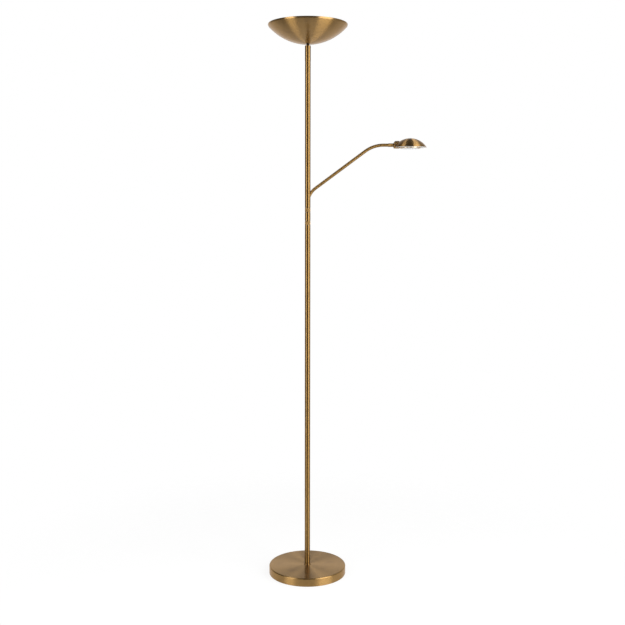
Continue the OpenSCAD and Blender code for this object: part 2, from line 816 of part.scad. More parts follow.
module bowl_washer() {
  color(steel) sleeve(2 * seat_r - 2, thread_bore, bowl_washer_z, bowl_nut_z, 0.2);
}

module bowl_nut() {
  color(steel) hex_nut(bowl_nut_af, thread_bore, bowl_nut_z, bowl_nut_h);
}

module uplight_heat_sink() {
  fin_r = sqrt(pow(dish_in_r, 2) - pow(dish_z - (sink_z - sink_fin_h), 2)) - 4;
  color(alu) difference() {
    union() {
      rod(2 * seat_r, sink_boss_z, sink_z);
      rod(2 * sink_r, sink_z, sink_top);
      for (i = [0:sink_fins - 1])
        rotate([0, 0, i * 360 / sink_fins]) translate([seat_r - over, -1, sink_z - sink_fin_h])
          cube([fin_r - seat_r + over, 2, sink_fin_h + over]);
    }
    rod(thread_bore, sink_boss_z - over, sink_top + over);
  }
}

module heat_sink_nut() {
  color(steel) hex_nut(bowl_nut_af, thread_bore, sink_top, bowl_nut_h);
}

// Ring board with two rings of emitters
module uplight_led_board() {
  z = sink_top + board_t;
  color(white) {
    sleeve(2 * board_r, 2 * board_in_r, sink_top, z);
    for (ring = [[24, 12], [38, 20]], i = [0:ring[1] - 1])
      rotate([0, 0, (i + 0.5) * 360 / ring[1]])
        translate([ring[0] - emitter / 2, -emitter / 2, z - emitter_h / 2])
          cube([emitter, emitter, emitter_h * 3 / 2]);
  }
}

module at_posts(z) {
  for (a = post_angles) rotate([0, 0, a]) translate([post_r, 0, z]) children();
}

module opal_posts() {
  color(steel) difference() {
    at_posts(sink_top) cylinder(d = post_d, h = post_h);
    at_posts(opal_z - opal_screw_in - 2)
      cylinder(d = opal_screw_d + 2 * fit, h = opal_screw_in + 2 + over);
  }
}

module opal_plate() {
  edge = 0.8;
  color(white) difference() {
    sleeve(2 * opal_r, 0, opal_z, opal_top, edge);
    at_posts(opal_z - over) cylinder(d = opal_screw_d + 2 * fit, h = opal_t + 2 * over);
  }
}

module opal_screws() {
  color(brass) at_posts(0) {
    translate([0, 0, opal_z - opal_screw_in]) cylinder(d = opal_screw_d, h = opal_t + opal_screw_in);
    translate([0, 0, opal_top]) rotate_extrude()
      polygon([[0, 0], [post_d / 2, 0], [post_d / 2, screw_head_h - 0.8],
               [post_d / 2 - 0.8, screw_head_h], [0, screw_head_h]]);
  }
}

// Knuckle: a sleeve that turns on the arm's spigot, and a tongue with the tilt pin's eye
module swivel_knuckle() {
  web_hole_d = 2.6;
  color(brass) difference() {
    union() {
      translate([sleeve_x0, 0, arm_z]) rotate([0, 90, 0]) sleeve(knuckle_d, 0, 0, knuckle_l, 0.5);
      translate([sleeve_x1 - over, -tongue_t / 2, arm_z - eye_r])
        cube([pin_x - sleeve_x1 + over, tongue_t, 2 * eye_r]);
      translate([pin_x, tongue_t / 2, arm_z]) rotate([90, 0, 0]) cylinder(r = eye_r, h = tongue_t);
    }
    arm_rod(sleeve_bore, sleeve_x0 - over, spigot_x1 + slip);
    translate([pin_x, tongue_t, arm_z]) rotate([90, 0, 0]) cylinder(d = pin_d + 2 * run, h = 2 * tongue_t);
    translate([roll_stop_x, 0, arm_z]) rotate([0, 90, 0]) rotate([0, 90, 0])
      cylinder(d = stop_screw_d + 2 * fit, h = knuckle_d);
    translate([spigot_x1, knuckle_d / 3, arm_z]) rotate([0, 90, 0]) cylinder(d = web_hole_d, h = knuckle_l);
  }
}

// Dog-point screw under the knuckle: it ends the head's turn about the arm
module roll_stop_screw() {
  tip_r = roll_groove_r + slip;
  color(steel) translate([roll_stop_x, 0, arm_z - tip_r]) rotate([0, 90, 0])
    stop_screw(sleeve_bore / 2 + slip - tip_r, knuckle_d / 2 - slip - tip_r);
}

// Dome of the head above the rim's plane, as a solid
module dome(r) {
  intersection() {
    translate([head_x, 0, dome_z]) sphere(r = r);
    translate([head_x - dome_r, -dome_r, rim_z]) cube([2 * dome_r, 2 * dome_r, 2 * dome_r]);
  }
}

// Round form along the arm, from x0 to x1, with edges e and a brow that rounds its outer end's top
module socket_form(r, x0, x1, e, brow) {
  l = x1 - x0;
  top = arm_z + socket_rise + r;
  intersection() {
    translate([x0, 0, top - r]) rotate([0, 90, 0]) rotate_extrude() difference() {
      union() {
        translate([0, e]) square([r, l - 2 * e]);
        square([r - e, l]);
        if (e > 0) for (y = [e, l - e]) translate([r - e, y]) circle(r = e, $fn = 40);
      }
      translate([-r, -over]) square([r, l + 2 * over]);
    }
    translate([0, r + over, 0]) rotate([90, 0, 0]) linear_extrude(2 * (r + over)) {
      translate([x0 + brow - brow_play, top - brow + brow_play]) circle(r = brow);
      translate([x0 - over, top - 2 * r - over]) square([l + 2 * over, 2 * r + over - brow + brow_play]);
      translate([x0 + brow - brow_play, top - 2 * r - over]) square([l, 2 * (r + over)]);
    }
  }
}

// Shell of the head: the dome and the half-sunk socket that takes the knuckle
module head_shell() {
  mid = head_wall / 2;
  color(brass) difference() {
    union() {
      difference() {
        union() {
          dome(dome_r);
          socket_form(socket_r, rim_x, socket_x1, socket_edge_r, socket_brow_r);
        }
        dome(dome_in_r);
        socket_form(socket_in_r, rim_x + head_wall, socket_x1 - head_wall, 0, socket_brow_r - head_wall);
        intersection() {
          arm_rod(2 * slot_end, rim_x - over, rim_x + socket_brow_r / 2);
          translate([rim_x - 2 * over, -slot_r, arm_z - socket_r])
            cube([socket_brow_r, 2 * slot_r, 2 * socket_r]);
        }
      }
      intersection() {
        for (side = [0, 180])
          translate([pin_x, 0, arm_z]) rotate([0, 0, side]) rotate([-90, 0, 0])
            translate([0, 0, boss_y]) cylinder(r = boss_r, h = socket_r - boss_y);
        socket_form(socket_r - mid, rim_x + mid, socket_x1 - mid, 0, socket_brow_r - mid);
      }
      translate([head_x, 0, head_sink_top])
        cylinder(d = head_boss_d, h = dome_z + dome_in_r - head_sink_top + head_wall / 2);
    }
    translate([pin_x, socket_r + over, arm_z]) rotate([90, 0, 0])
      cylinder(d = pin_d + 2 * fit, h = 2 * (socket_r + over));
    translate([head_x, 0, head_sink_top - over]) cylinder(d = sink_screw_d + 2 * fit, h = 12);
  }
}

module tilt_pin() {
  l = 2 * pin_reach;
  color(steel) translate([pin_x, l / 2, arm_z]) rotate([90, 0, 0]) cylinder(d = pin_d, h = l);
}

module at_plate_screws(z) {
  for (a = plate_screw_angles)
    translate([head_x, 0, z]) rotate([0, 0, a]) translate([plate_screw_r, 0, 0]) children();
}

module head_heat_sink() {
  post_z = rim_z + plate_t;
  color(alu) difference() {
    union() {
      translate([head_x, 0, 0]) rod(2 * head_sink_r, head_sink_z, head_sink_top);
      for (i = [0:head_fins - 1])
        translate([head_x, 0, head_sink_top - over]) rotate([0, 0, (i + 0.5) * 360 / head_fins])
          translate([head_boss_d, -0.75, 0]) cube([head_fin_r - head_boss_d, 1.5, head_fin_h + over]);
      at_plate_screws(post_z) cylinder(d = 6, h = head_sink_z - post_z + over);
    }
    at_plate_screws(post_z - over) cylinder(d = plate_screw_d + 2 * fit, h = head_sink_top - post_z + 2 * over);
    translate([head_x, 0, head_sink_z - over])
      cylinder(d = sink_screw_d + 2 * fit, h = head_sink_t + 2 * over);
  }
}

module heat_sink_screw() {
  color(steel) translate([head_x, 0, 0]) {
    rod(2 * sink_screw_d - 0.5, head_sink_z - 2, head_sink_z);
    rod(sink_screw_d, head_sink_z, head_sink_top + 10);
  }
}

module head_led_board() {
  ring_r = 16;
  emitters = 12;
  color(white) translate([head_x, 0, 0]) {
    sleeve(2 * head_board_r, 3 * sink_screw_d, head_board_z, head_sink_z);
    for (i = [0:emitters - 1])
      rotate([0, 0, i * 360 / emitters])
        translate([ring_r - emitter / 2, -emitter / 2, head_board_z - emitter_h])
          cube([emitter, emitter, emitter_h * 3 / 2]);
  }
}

// White plate that closes the dome, notched round the socket
module head_plate() {
  color(white) difference() {
    translate([head_x, 0, 0]) rod(2 * plate_r, rim_z, rim_z + plate_t);
    translate([head_x, 0, 0]) rod(2 * plate_hole_r, rim_z - over, rim_z + plate_t + over);
    translate([rim_x - over, -notch_half, rim_z - over])
      cube([socket_x1 - head_wall - rim_x + over, 2 * notch_half, plate_t + 2 * over]);
    at_plate_screws(rim_z - over) cylinder(d = plate_screw_d + 2 * fit, h = plate_t + 2 * over);
  }
}

module plate_screws() {
  color(steel) at_plate_screws(0) {
    translate([0, 0, rim_z]) cylinder(d = plate_screw_d, h = head_sink_top - rim_z - over);
    translate([0, 0, rim_z]) rotate_extrude()
      polygon([[0, 0], [plate_screw_d * 0.9, 0], [plate_screw_d * 0.9, -0.6],
               [plate_screw_d * 0.6, -1.3], [0, -1.3]]);
  }
}

module lens_ring() {
  o = lens_ring_r;
  h = lens_ring_h;
  neck_r = plate_hole_r - fit;
  neck_top = rim_z + plate_t + 0.5;
  color(brass) translate([head_x, 0, 0]) rotate_extrude()
    polygon([[lens_r, rim_z - h], [o - 1.2, rim_z - h], [o - 0.3, rim_z - h + 0.7], [o, rim_z - h + 1.6],
             [o, rim_z], [neck_r, rim_z], [neck_r, neck_top], [neck_r - lens_neck, neck_top],
             [neck_r - lens_neck, rim_z - h + 1], [lens_r, rim_z - h + 1]]);
}

// Opal lens: a shallow cap that hangs through the ring, with a ledge that rests in it
module reading_lens() {
  ledge_z = rim_z - lens_ring_h + 1;
  ledge_t = 1.5;
  r = lens_r - fit;
  cap_h = ledge_z - (rim_z - lens_drop);
  cap_r = (r * r + cap_h * cap_h) / (2 * cap_h);
  color(white) translate([head_x, 0, 0]) {
    rod(2 * (lens_r + lens_seat - fit), ledge_z, ledge_z + ledge_t);
    rotate_extrude() intersection() {
      translate([0, rim_z - lens_drop + cap_r]) circle(r = cap_r, $fn = 4 * $fn);
      translate([0, rim_z - 2 * lens_drop])
        square([r, ledge_z + ledge_t / 2 - rim_z + 2 * lens_drop]);
    }
  }
}

base_pad();
ballast_disc();
base_cover();
cable_inlet_grommet();
terminal_block();
led_driver();
supply_lead();
pole_lead();
clamp_washer();
clamp_nut();
base_stud();
pole_foot_ring();
pole_foot_plug();
lower_pole_tube();
pole_joint_socket();
pole_joint_spigot();
middle_pole_tube();
dimmer_core();
dimmer_housing();
reading_dimmer_track();
uplight_dimmer_track();
reading_dimmer_ring();
uplight_dimmer_ring();
thrust_washer();
swivel_stop_screw();
swivel_spindle();
friction_washer();
friction_nut();
upper_pole_tube();
arm_saddle();
reading_arm();
arm_spigot();
reading_lead();
uplight_lead();
top_ferrule();
neck_nipple();
bowl_shade();
bowl_washer();
bowl_nut();
uplight_heat_sink();
heat_sink_nut();
uplight_led_board();
opal_posts();
opal_plate();
opal_screws();
swivel_knuckle();
roll_stop_screw();
head_shell();
tilt_pin();
head_heat_sink();
heat_sink_screw();
head_led_board();
head_plate();
plate_screws();
lens_ring();
reading_lens();
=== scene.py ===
"""Floor lamp with a bowl uplighter and a reading light: finishes and fine detail over the lamp's solids.

Metres, +Z up, the reading arm towards +X, the camera in front of the lamp looking along +Y.
"""

import json
import math

import bmesh
import bpy
from mathutils import Matrix, Vector

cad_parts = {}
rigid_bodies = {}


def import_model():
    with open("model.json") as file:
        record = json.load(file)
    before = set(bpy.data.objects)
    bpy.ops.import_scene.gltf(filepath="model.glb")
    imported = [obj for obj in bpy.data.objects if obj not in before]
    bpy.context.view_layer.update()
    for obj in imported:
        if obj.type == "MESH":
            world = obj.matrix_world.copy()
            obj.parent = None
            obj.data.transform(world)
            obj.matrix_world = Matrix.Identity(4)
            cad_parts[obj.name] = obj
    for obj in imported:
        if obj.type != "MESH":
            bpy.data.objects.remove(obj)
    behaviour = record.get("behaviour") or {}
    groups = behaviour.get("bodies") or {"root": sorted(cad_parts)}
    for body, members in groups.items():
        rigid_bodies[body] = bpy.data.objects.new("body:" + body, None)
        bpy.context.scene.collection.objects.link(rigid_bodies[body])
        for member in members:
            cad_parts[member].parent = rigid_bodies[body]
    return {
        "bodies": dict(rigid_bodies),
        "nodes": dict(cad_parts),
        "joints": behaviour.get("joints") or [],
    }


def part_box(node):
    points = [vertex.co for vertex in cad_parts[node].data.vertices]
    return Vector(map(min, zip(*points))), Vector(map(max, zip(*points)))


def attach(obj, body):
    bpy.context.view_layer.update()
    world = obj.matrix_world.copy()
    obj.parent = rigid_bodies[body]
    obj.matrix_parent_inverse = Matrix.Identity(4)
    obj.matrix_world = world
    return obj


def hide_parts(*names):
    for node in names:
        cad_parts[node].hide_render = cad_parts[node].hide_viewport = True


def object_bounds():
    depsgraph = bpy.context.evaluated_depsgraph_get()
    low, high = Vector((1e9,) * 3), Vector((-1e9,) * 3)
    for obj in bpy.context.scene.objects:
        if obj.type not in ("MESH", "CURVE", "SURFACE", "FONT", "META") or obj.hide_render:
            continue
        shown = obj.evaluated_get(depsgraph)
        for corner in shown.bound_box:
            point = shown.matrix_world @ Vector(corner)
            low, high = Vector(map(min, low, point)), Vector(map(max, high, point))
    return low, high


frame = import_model()
cad_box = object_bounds()
NODES = frame["nodes"]
JOINTS = {joint["name"]: Vector(joint["pos_m"]) for joint in frame["joints"]}
MM = 0.001
TURN = 2 * math.pi

# Edges that turn by more than these angles, in radians, stay sharp
SHARP = 0.6
FLUTE_SHARP = 0.7
THREAD_SHARP = 1.2

# Points nearer than this become one, and points this near to an outer face lie on it
MERGE = 0.001 * MM
SURFACE_SLACK = 0.05 * MM

# Outer radius of the reading arm
ARM_RADIUS = (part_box("reading_arm")[1].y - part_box("reading_arm")[0].y) / 2


# Camera: sensor and lens in millimetres, pitch and roll in degrees

SENSOR = 36
LENS = 52.58
CAMERA_PLACE = (0.0156, -2.975, 1.197)
CAMERA_PITCH = 83.94
CAMERA_ROLL = -0.09


def in_scene(name, data):
    """A new object in the scene."""
    made = bpy.data.objects.new(name, data)
    bpy.context.scene.collection.objects.link(made)
    return made


def make_camera():
    camera = in_scene("camera", bpy.data.cameras.new("camera"))
    camera.data.sensor_width = SENSOR
    camera.data.lens = LENS
    camera.location = CAMERA_PLACE
    camera.rotation_euler = (math.radians(CAMERA_PITCH), math.radians(CAMERA_ROLL), 0)
    bpy.context.scene.camera = camera


make_camera()


# Node trees

def new_tree(kind, name, inputs, outputs):
    """A node tree with named inputs and outputs. Each input is (name, socket type, value)."""
    tree = bpy.data.node_groups.new(name, kind)
    for label, socket_type, value in inputs:
        socket = tree.interface.new_socket(label, in_out="INPUT", socket_type=socket_type)
        if value is not None:
            socket.default_value = value
    for label, socket_type in outputs:
        tree.interface.new_socket(label, in_out="OUTPUT", socket_type=socket_type)
    start = tree.nodes.new("NodeGroupInput")
    end = tree.nodes.new("NodeGroupOutput")
    return tree, start.outputs, end.inputs


def number(label, value=0.0):
    """A tree's input for a number."""
    return label, "NodeSocketFloat", value


def whole(label, value):
    """A tree's input for a whole number."""
    return label, "NodeSocketInt", value


def feed(tree, socket, value):
    """Links an input to another node's output, or sets its value."""
    if isinstance(value, bpy.types.NodeSocket):
        tree.links.new(value, socket)
    else:
        socket.default_value = value


def node(tree, kind, inputs=None, **settings):
    """A new node with its settings and inputs."""
    made = tree.nodes.new(kind)
    for key, value in settings.items():
        setattr(made, key, value)
    for key, value in (inputs or {}).items():
        feed(tree, made.inputs[key], value)
    return made


def maths(tree, operation, a, b=0.0, c=0.0, clamp=False):
    made = node(tree, "ShaderNodeMath", {0: a, 1: b, 2: c}, operation=operation, use_clamp=clamp)
    return made.outputs[0]


def product(tree, a, b):
    return maths(tree, "MULTIPLY", a, b)


def vector_maths(tree, operation, a, b=(0, 0, 0)):
    made = node(tree, "ShaderNodeVectorMath", {0: a, 1: b}, operation=operation)
    return made.outputs["Value" if operation in ("LENGTH", "DOT_PRODUCT") else "Vector"]


def scaled(tree, vector, factor):
    made = node(tree, "ShaderNodeVectorMath", {"Vector": vector, "Scale": factor}, operation="SCALE")
    return made.outputs["Vector"]


def parts(tree, vector):
    """The X, Y and Z of a vector."""
    return node(tree, "ShaderNodeSeparateXYZ", {0: vector}).outputs


def combined(tree, x=0.0, y=0.0, z=0.0):
    """A vector from its parts."""
    return node(tree, "ShaderNodeCombineXYZ", {"X": x, "Y": y, "Z": z}).outputs[0]


def flattened(tree, vector):
    """A vector without its height."""
    return vector_maths(tree, "MULTIPLY", vector, (1, 1, 0))


# Geometry trees: turned pieces, flutes, threads, bent tubes and rings of small parts

def geometry_tree(name, *sizes):
    """A tree that makes a mesh with a material from another mesh or curve and some sizes."""
    inputs = [("Geometry", "NodeSocketGeometry", None), *sizes, ("Material", "NodeSocketMaterial", None)]
    return new_tree("GeometryNodeTree", name, inputs, [("Geometry", "NodeSocketGeometry")])


def finish_tree(tree, start, end, mesh):
    """Merges the seam, smooths all but the sharp edges, realizes and sets the material."""
    merged = node(tree, "GeometryNodeMergeByDistance", {"Geometry": mesh, "Distance": MERGE})
    angle = node(tree, "GeometryNodeInputMeshEdgeAngle").outputs["Unsigned Angle"]
    soft = maths(tree, "LESS_THAN", angle, start["Sharp Angle"])
    smooth = node(tree, "GeometryNodeSetShadeSmooth", {"Geometry": merged.outputs[0], "Shade Smooth": soft},
                  domain="EDGE")
    real = node(tree, "GeometryNodeRealizeInstances", {"Geometry": smooth.outputs[0]})
    done = node(tree, "GeometryNodeSetMaterial", {"Geometry": real.outputs[0], "Material": start["Material"]})
    tree.links.new(done.outputs[0], end["Geometry"])


def grid_cells(tree, columns, rows):
    """A grid of points, and each point's column and row."""
    grid = node(tree, "GeometryNodeMeshGrid", {"Vertices X": columns, "Vertices Y": rows})
    index = node(tree, "GeometryNodeInputIndex").outputs[0]
    column = maths(tree, "FLOOR", maths(tree, "DIVIDE", index, rows))
    row = maths(tree, "SUBTRACT", index, product(tree, column, rows))
    return grid.outputs["Mesh"], column, row


def with_map(tree, mesh, around, along):
    """Stores the piece's UV map: turns around it, and metres along it."""
    at_points = node(tree, "GeometryNodeFieldOnDomain", {"Value": combined(tree, around, along)},
                     data_type="FLOAT_VECTOR", domain="POINT")
    stored = node(tree, "GeometryNodeStoreNamedAttribute",
                  {"Geometry": mesh, "Name": "UVMap", "Value": at_points.outputs[0]},
                  data_type="FLOAT2", domain="CORNER")
    return stored.outputs[0]


def turning_tree():
    """Spins a profile, whose points run from one end to the other at y = 0, about the Z axis."""
    tree, start, end = geometry_tree("spin a profile", whole("Segments", 96), number("Sharp Angle", SHARP))
    profile = start["Geometry"]
    count = node(tree, "GeometryNodeAttributeDomainSize", {"Geometry": profile}).outputs["Point Count"]
    mesh, column, row = grid_cells(tree, maths(tree, "ADD", start["Segments"], 1), count)
    position = node(tree, "GeometryNodeInputPosition").outputs[0]
    run = node(tree, "GeometryNodeInputNamedAttribute", {"Name": "run"}, data_type="FLOAT")
    point = node(tree, "GeometryNodeSampleIndex", {"Geometry": profile, "Value": position, "Index": row},
                 data_type="FLOAT_VECTOR", domain="POINT").outputs["Value"]
    along = node(tree, "GeometryNodeSampleIndex",
                 {"Geometry": profile, "Value": run.outputs["Attribute"], "Index": row},
                 data_type="FLOAT", domain="POINT").outputs["Value"]
    around = maths(tree, "DIVIDE", column, start["Segments"])
    angle = product(tree, around, TURN)
    part = parts(tree, point)
    x = product(tree, part["X"], maths(tree, "COSINE", angle))
    y = product(tree, part["X"], maths(tree, "SINE", angle))
    place = combined(tree, x, y, part["Z"])
    mapped = with_map(tree, mesh, around, along)
    spun = node(tree, "GeometryNodeSetPosition", {"Geometry": mapped, "Position": place})
    finish_tree(tree, start, end, spun.outputs[0])
    return tree


def radial_offset(tree, start, amount, wanted):
    """Moves the wanted points away from the Z axis by an amount."""
    position = node(tree, "GeometryNodeInputPosition").outputs[0]
    outward = vector_maths(tree, "NORMALIZE", flattened(tree, position))
    offset = scaled(tree, outward, amount)
    moved = node(tree, "GeometryNodeSetPosition",
                 {"Geometry": start["Geometry"], "Selection": wanted, "Offset": offset})
    return moved.outputs[0]


def at_surface(tree, radius, low, high):
    """Whether a point is on the outer radius between two heights, its turn about the axis and its height."""
    position = node(tree, "GeometryNodeInputPosition").outputs[0]
    part = parts(tree, position)
    reach = vector_maths(tree, "LENGTH", flattened(tree, position))
    outer = maths(tree, "GREATER_THAN", reach, maths(tree, "SUBTRACT", radius, SURFACE_SLACK))
    above = maths(tree, "GREATER_THAN", part["Z"], low)
    below = maths(tree, "LESS_THAN", part["Z"], high)
    turn = maths(tree, "DIVIDE", maths(tree, "ARCTAN2", part["Y"], part["X"]), TURN)
    return product(tree, outer, product(tree, above, below)), turn, part["Z"]


def flute_tree():
    """Cuts round-bottomed flutes into a ring's outer face."""
    tree, start, end = geometry_tree(
        "flute a ring", whole("Flutes", 36), number("Radius"), number("Cutter Radius"), number("Depth"),
        number("Low"), number("High"), number("Sharp Angle", FLUTE_SHARP))
    wanted, turn, _ = at_surface(tree, start["Radius"], start["Low"], start["High"])
    share = maths(tree, "FRACT", maths(tree, "MULTIPLY_ADD", turn, start["Flutes"], 0.5))
    step = maths(tree, "DIVIDE", product(tree, start["Radius"], TURN), start["Flutes"])
    across = product(tree, maths(tree, "SUBTRACT", share, 0.5), step)
    square = maths(tree, "SUBTRACT", maths(tree, "POWER", start["Cutter Radius"], 2),
                   product(tree, across, across))
    reach = maths(tree, "SQRT", maths(tree, "MAXIMUM", square, 0))
    cut = maths(tree, "SUBTRACT", reach, maths(tree, "SUBTRACT", start["Cutter Radius"], start["Depth"]))
    depth = product(tree, maths(tree, "MAXIMUM", cut, 0), -1)
    finish_tree(tree, start, end, radial_offset(tree, start, depth, wanted))
    return tree


def thread_tree():
    """Cuts a V thread into a stud's outer face."""
    tree, start, end = geometry_tree(
        "cut a thread", number("Pitch", MM), number("Depth", 0.5 * MM), number("Radius"), number("Low"),
        number("High"), number("Sharp Angle", THREAD_SHARP))
    wanted, turn, height = at_surface(tree, start["Radius"], start["Low"], start["High"])
    share = maths(tree, "FRACT", maths(tree, "SUBTRACT", maths(tree, "DIVIDE", height, start["Pitch"]), turn))
    flank = maths(tree, "ABSOLUTE", maths(tree, "MULTIPLY_ADD", share, 2, -1))
    depth = product(tree, product(tree, flank, start["Depth"]), -1)
    finish_tree(tree, start, end, radial_offset(tree, start, depth, wanted))
    return tree


def bent_tube_tree():
    """A tube with its bore along a curve that lies in the plane y = 0.

    Its rows run along the outer face, back along the bore, and close at the first row.
    """
    tree, start, end = geometry_tree(
        "bend a tube", number("Outer Radius"), number("Bore Radius"), whole("Rows", 200),
        whole("Segments", 48), number("Sharp Angle", SHARP))
    rows = start["Rows"]
    back = maths(tree, "MULTIPLY_ADD", rows, 2, 1)
    columns = maths(tree, "ADD", start["Segments"], 1)
    mesh, column, row = grid_cells(tree, columns, maths(tree, "ADD", back, 2))
    step = maths(tree, "MINIMUM", row, maths(tree, "SUBTRACT", back, row))
    share = maths(tree, "DIVIDE", step, rows, clamp=True)
    in_bore = product(tree, maths(tree, "GREATER_THAN", row, maths(tree, "ADD", rows, 0.5)),
                      maths(tree, "LESS_THAN", row, maths(tree, "ADD", back, 0.5)))
    wall = maths(tree, "SUBTRACT", start["Outer Radius"], start["Bore Radius"])
    radius = maths(tree, "SUBTRACT", start["Outer Radius"], product(tree, in_bore, wall))
    sample = node(tree, "GeometryNodeSampleCurve", {"Curves": start["Geometry"], "Factor": share},
                  mode="FACTOR")
    around = maths(tree, "DIVIDE", column, start["Segments"])
    angle = product(tree, around, TURN)
    side = vector_maths(tree, "CROSS_PRODUCT", (0, 1, 0), sample.outputs["Tangent"])
    spoke = vector_maths(tree, "ADD", scaled(tree, side, maths(tree, "COSINE", angle)),
                         combined(tree, y=maths(tree, "SINE", angle)))
    place = vector_maths(tree, "ADD", sample.outputs["Position"], scaled(tree, spoke, radius))
    length = node(tree, "GeometryNodeCurveLength", {"Curve": start["Geometry"]}).outputs[0]
    mapped = with_map(tree, mesh, around, product(tree, share, length))
    bent = node(tree, "GeometryNodeSetPosition", {"Geometry": mapped, "Position": place})
    finish_tree(tree, start, end, bent.outputs[0])
    return tree


def ring_tree():
    """Copies a small part round the Z axis."""
    tree, start, end = geometry_tree(
        "ring of parts", whole("Count", 3), number("Radius"), number("First Angle"),
        ("Centre", "NodeSocketVector", (0, 0, 0)), number("Sharp Angle", SHARP))
    circle = node(tree, "GeometryNodeMeshCircle", {"Vertices": start["Count"], "Radius": start["Radius"]})
    first = combined(tree, z=start["First Angle"])
    places = node(tree, "GeometryNodeTransform", {"Geometry": circle.outputs[0], "Rotation": first})
    index = node(tree, "GeometryNodeInputIndex").outputs[0]
    angle = product(tree, index, maths(tree, "DIVIDE", TURN, start["Count"]))
    angle = maths(tree, "ADD", angle, start["First Angle"])
    heading = combined(tree, z=angle)
    copies = node(tree, "GeometryNodeInstanceOnPoints", {
        "Points": places.outputs[0], "Instance": start["Geometry"], "Rotation": heading})
    real = node(tree, "GeometryNodeRealizeInstances", {"Geometry": copies.outputs[0]})
    centred_ring = node(tree, "GeometryNodeTransform",
                        {"Geometry": real.outputs[0], "Translation": start["Centre"]})
    finish_tree(tree, start, end, centred_ring.outputs[0])
    return tree


SPIN = turning_tree()
FLUTE = flute_tree()
THREAD = thread_tree()
BEND = bent_tube_tree()
RING = ring_tree()


# Making pieces from the trees

def run_tree(thing, tree, **values):
    """Adds a geometry tree to an object. A value's key is its input's name with underscores."""
    modifier = thing.modifiers.new(tree.name, "NODES")
    modifier.node_group = tree
    names = {item.name.replace(" ", "_"): item.identifier for item in tree.interface.items_tree}
    for key, value in values.items():
        modifier[names[key]] = value


def plain_mesh(thing, name):
    """The evaluated object as a plain mesh object that faces outwards. The source object is removed."""
    bpy.context.view_layer.update()
    evaluated = thing.evaluated_get(bpy.context.evaluated_depsgraph_get())
    mesh = bpy.data.meshes.new_from_object(evaluated)
    mesh.name = name
    source = thing.data
    bpy.data.objects.remove(thing)
    (bpy.data.curves if isinstance(source, bpy.types.Curve) else bpy.data.meshes).remove(source)
    work = bmesh.new()
    work.from_mesh(mesh)
    if work.calc_volume(signed=True) < 0:
        bmesh.ops.reverse_faces(work, faces=work.faces)
        work.to_mesh(mesh)
    work.free()
    return in_scene(name, mesh)


def profile_object(points):
    """A mesh of the profile's points, each with its distance along the profile."""
    mesh = bpy.data.meshes.new("profile")
    mesh.from_pydata([(r, 0, z) for r, z in points], [], [])
    run = mesh.attributes.new("run", "FLOAT", "POINT")
    total = 0
    for i, (r, z) in enumerate(points):
        if i:
            total += math.hypot(r - points[i - 1][0], z - points[i - 1][1])
        run.data[i].value = total
    return in_scene("profile", mesh)


def turned(name, points, material, segments, extra=()):
    """A turned piece from a profile, with any extra trees run on it."""
    thing = profile_object(points)
    run_tree(thing, SPIN, Segments=segments, Material=material)
    for tree, values in extra:
        run_tree(thing, tree, Material=material, **values)
    return plain_mesh(thing, name)


def rod(radius, depth, segments, place):
    """A closed rod whose middle is at a place, to cut with."""
    mesh = bpy.data.meshes.new("rod")
    work = bmesh.new()
    bmesh.ops.create_cone(work, cap_ends=True, segments=segments, radius1=radius, radius2=radius, depth=depth,
                          matrix=place)
    work.to_mesh(mesh)
    work.free()
    return in_scene("rod", mesh)


def cut(thing, cutter, name):
    """The piece without the space of the cutter, which is removed."""
    modifier = thing.modifiers.new("cut", "BOOLEAN")
    modifier.operation = "DIFFERENCE"
    modifier.solver = "EXACT"
    modifier.object = cutter
    made = plain_mesh(thing, name)
    mesh = cutter.data
    bpy.data.objects.remove(cutter)
    bpy.data.meshes.remove(mesh)
    made.data.shade_smooth()
    made.data.set_sharp_from_angle(angle=SHARP)
    return made


def arc(x, z, radius, first, last, steps):
    """Points of an arc between two angles in degrees."""
    angles = [math.radians(first + (last - first) * i / steps) for i in range(steps + 1)]
    return [(x + radius * math.cos(a), z + radius * math.sin(a)) for a in angles]


# Surface effects that several finishes share

# Brush marks: how the broad ones are stretched, and their detail
BROAD_STRETCH = (0.6, 0.6, 0.03)
BROAD_DETAIL = 4.0

# Grain: scale of the coarse grain as a share of the fine grain's, and the share of each
COARSE_SCALE = 0.13
FINE_SHARE = 0.6
COARSE_SHARE = 0.4

# Rubbed edges: scale and strength of what breaks them up, and where they begin and are full
WEAR_SCALE = 900.0
WEAR_BREAK = 6
WEAR_FIRST = 0.02
WEAR_FULL = 0.6

# Dust: how fast it thins on a slope, the scales of its specks and patches, and the share of each
DUST_SLOPE = 3
SPECK_SCALE = 1500.0
DUST_PATCH_SCALE = 30.0
DUST_SHARE = 0.6


def effect_tree(name, outputs, *values):
    """A shader group that works out numbers, by the outputs' names, from a place and some values."""
    inputs = [("Vector", "NodeSocketVector", None), *values]
    return new_tree("ShaderNodeTree", name, inputs, [(label, "NodeSocketFloat") for label in outputs])


def noise(tree, vector, scale, detail=3.0, roughness=0.55):
    """Soft noise from 0 to 1, with about so many spots in a metre as its scale says."""
    return node(tree, "ShaderNodeTexNoise",
                {"Vector": vector, "Scale": scale, "Detail": detail, "Roughness": roughness}).outputs["Fac"]


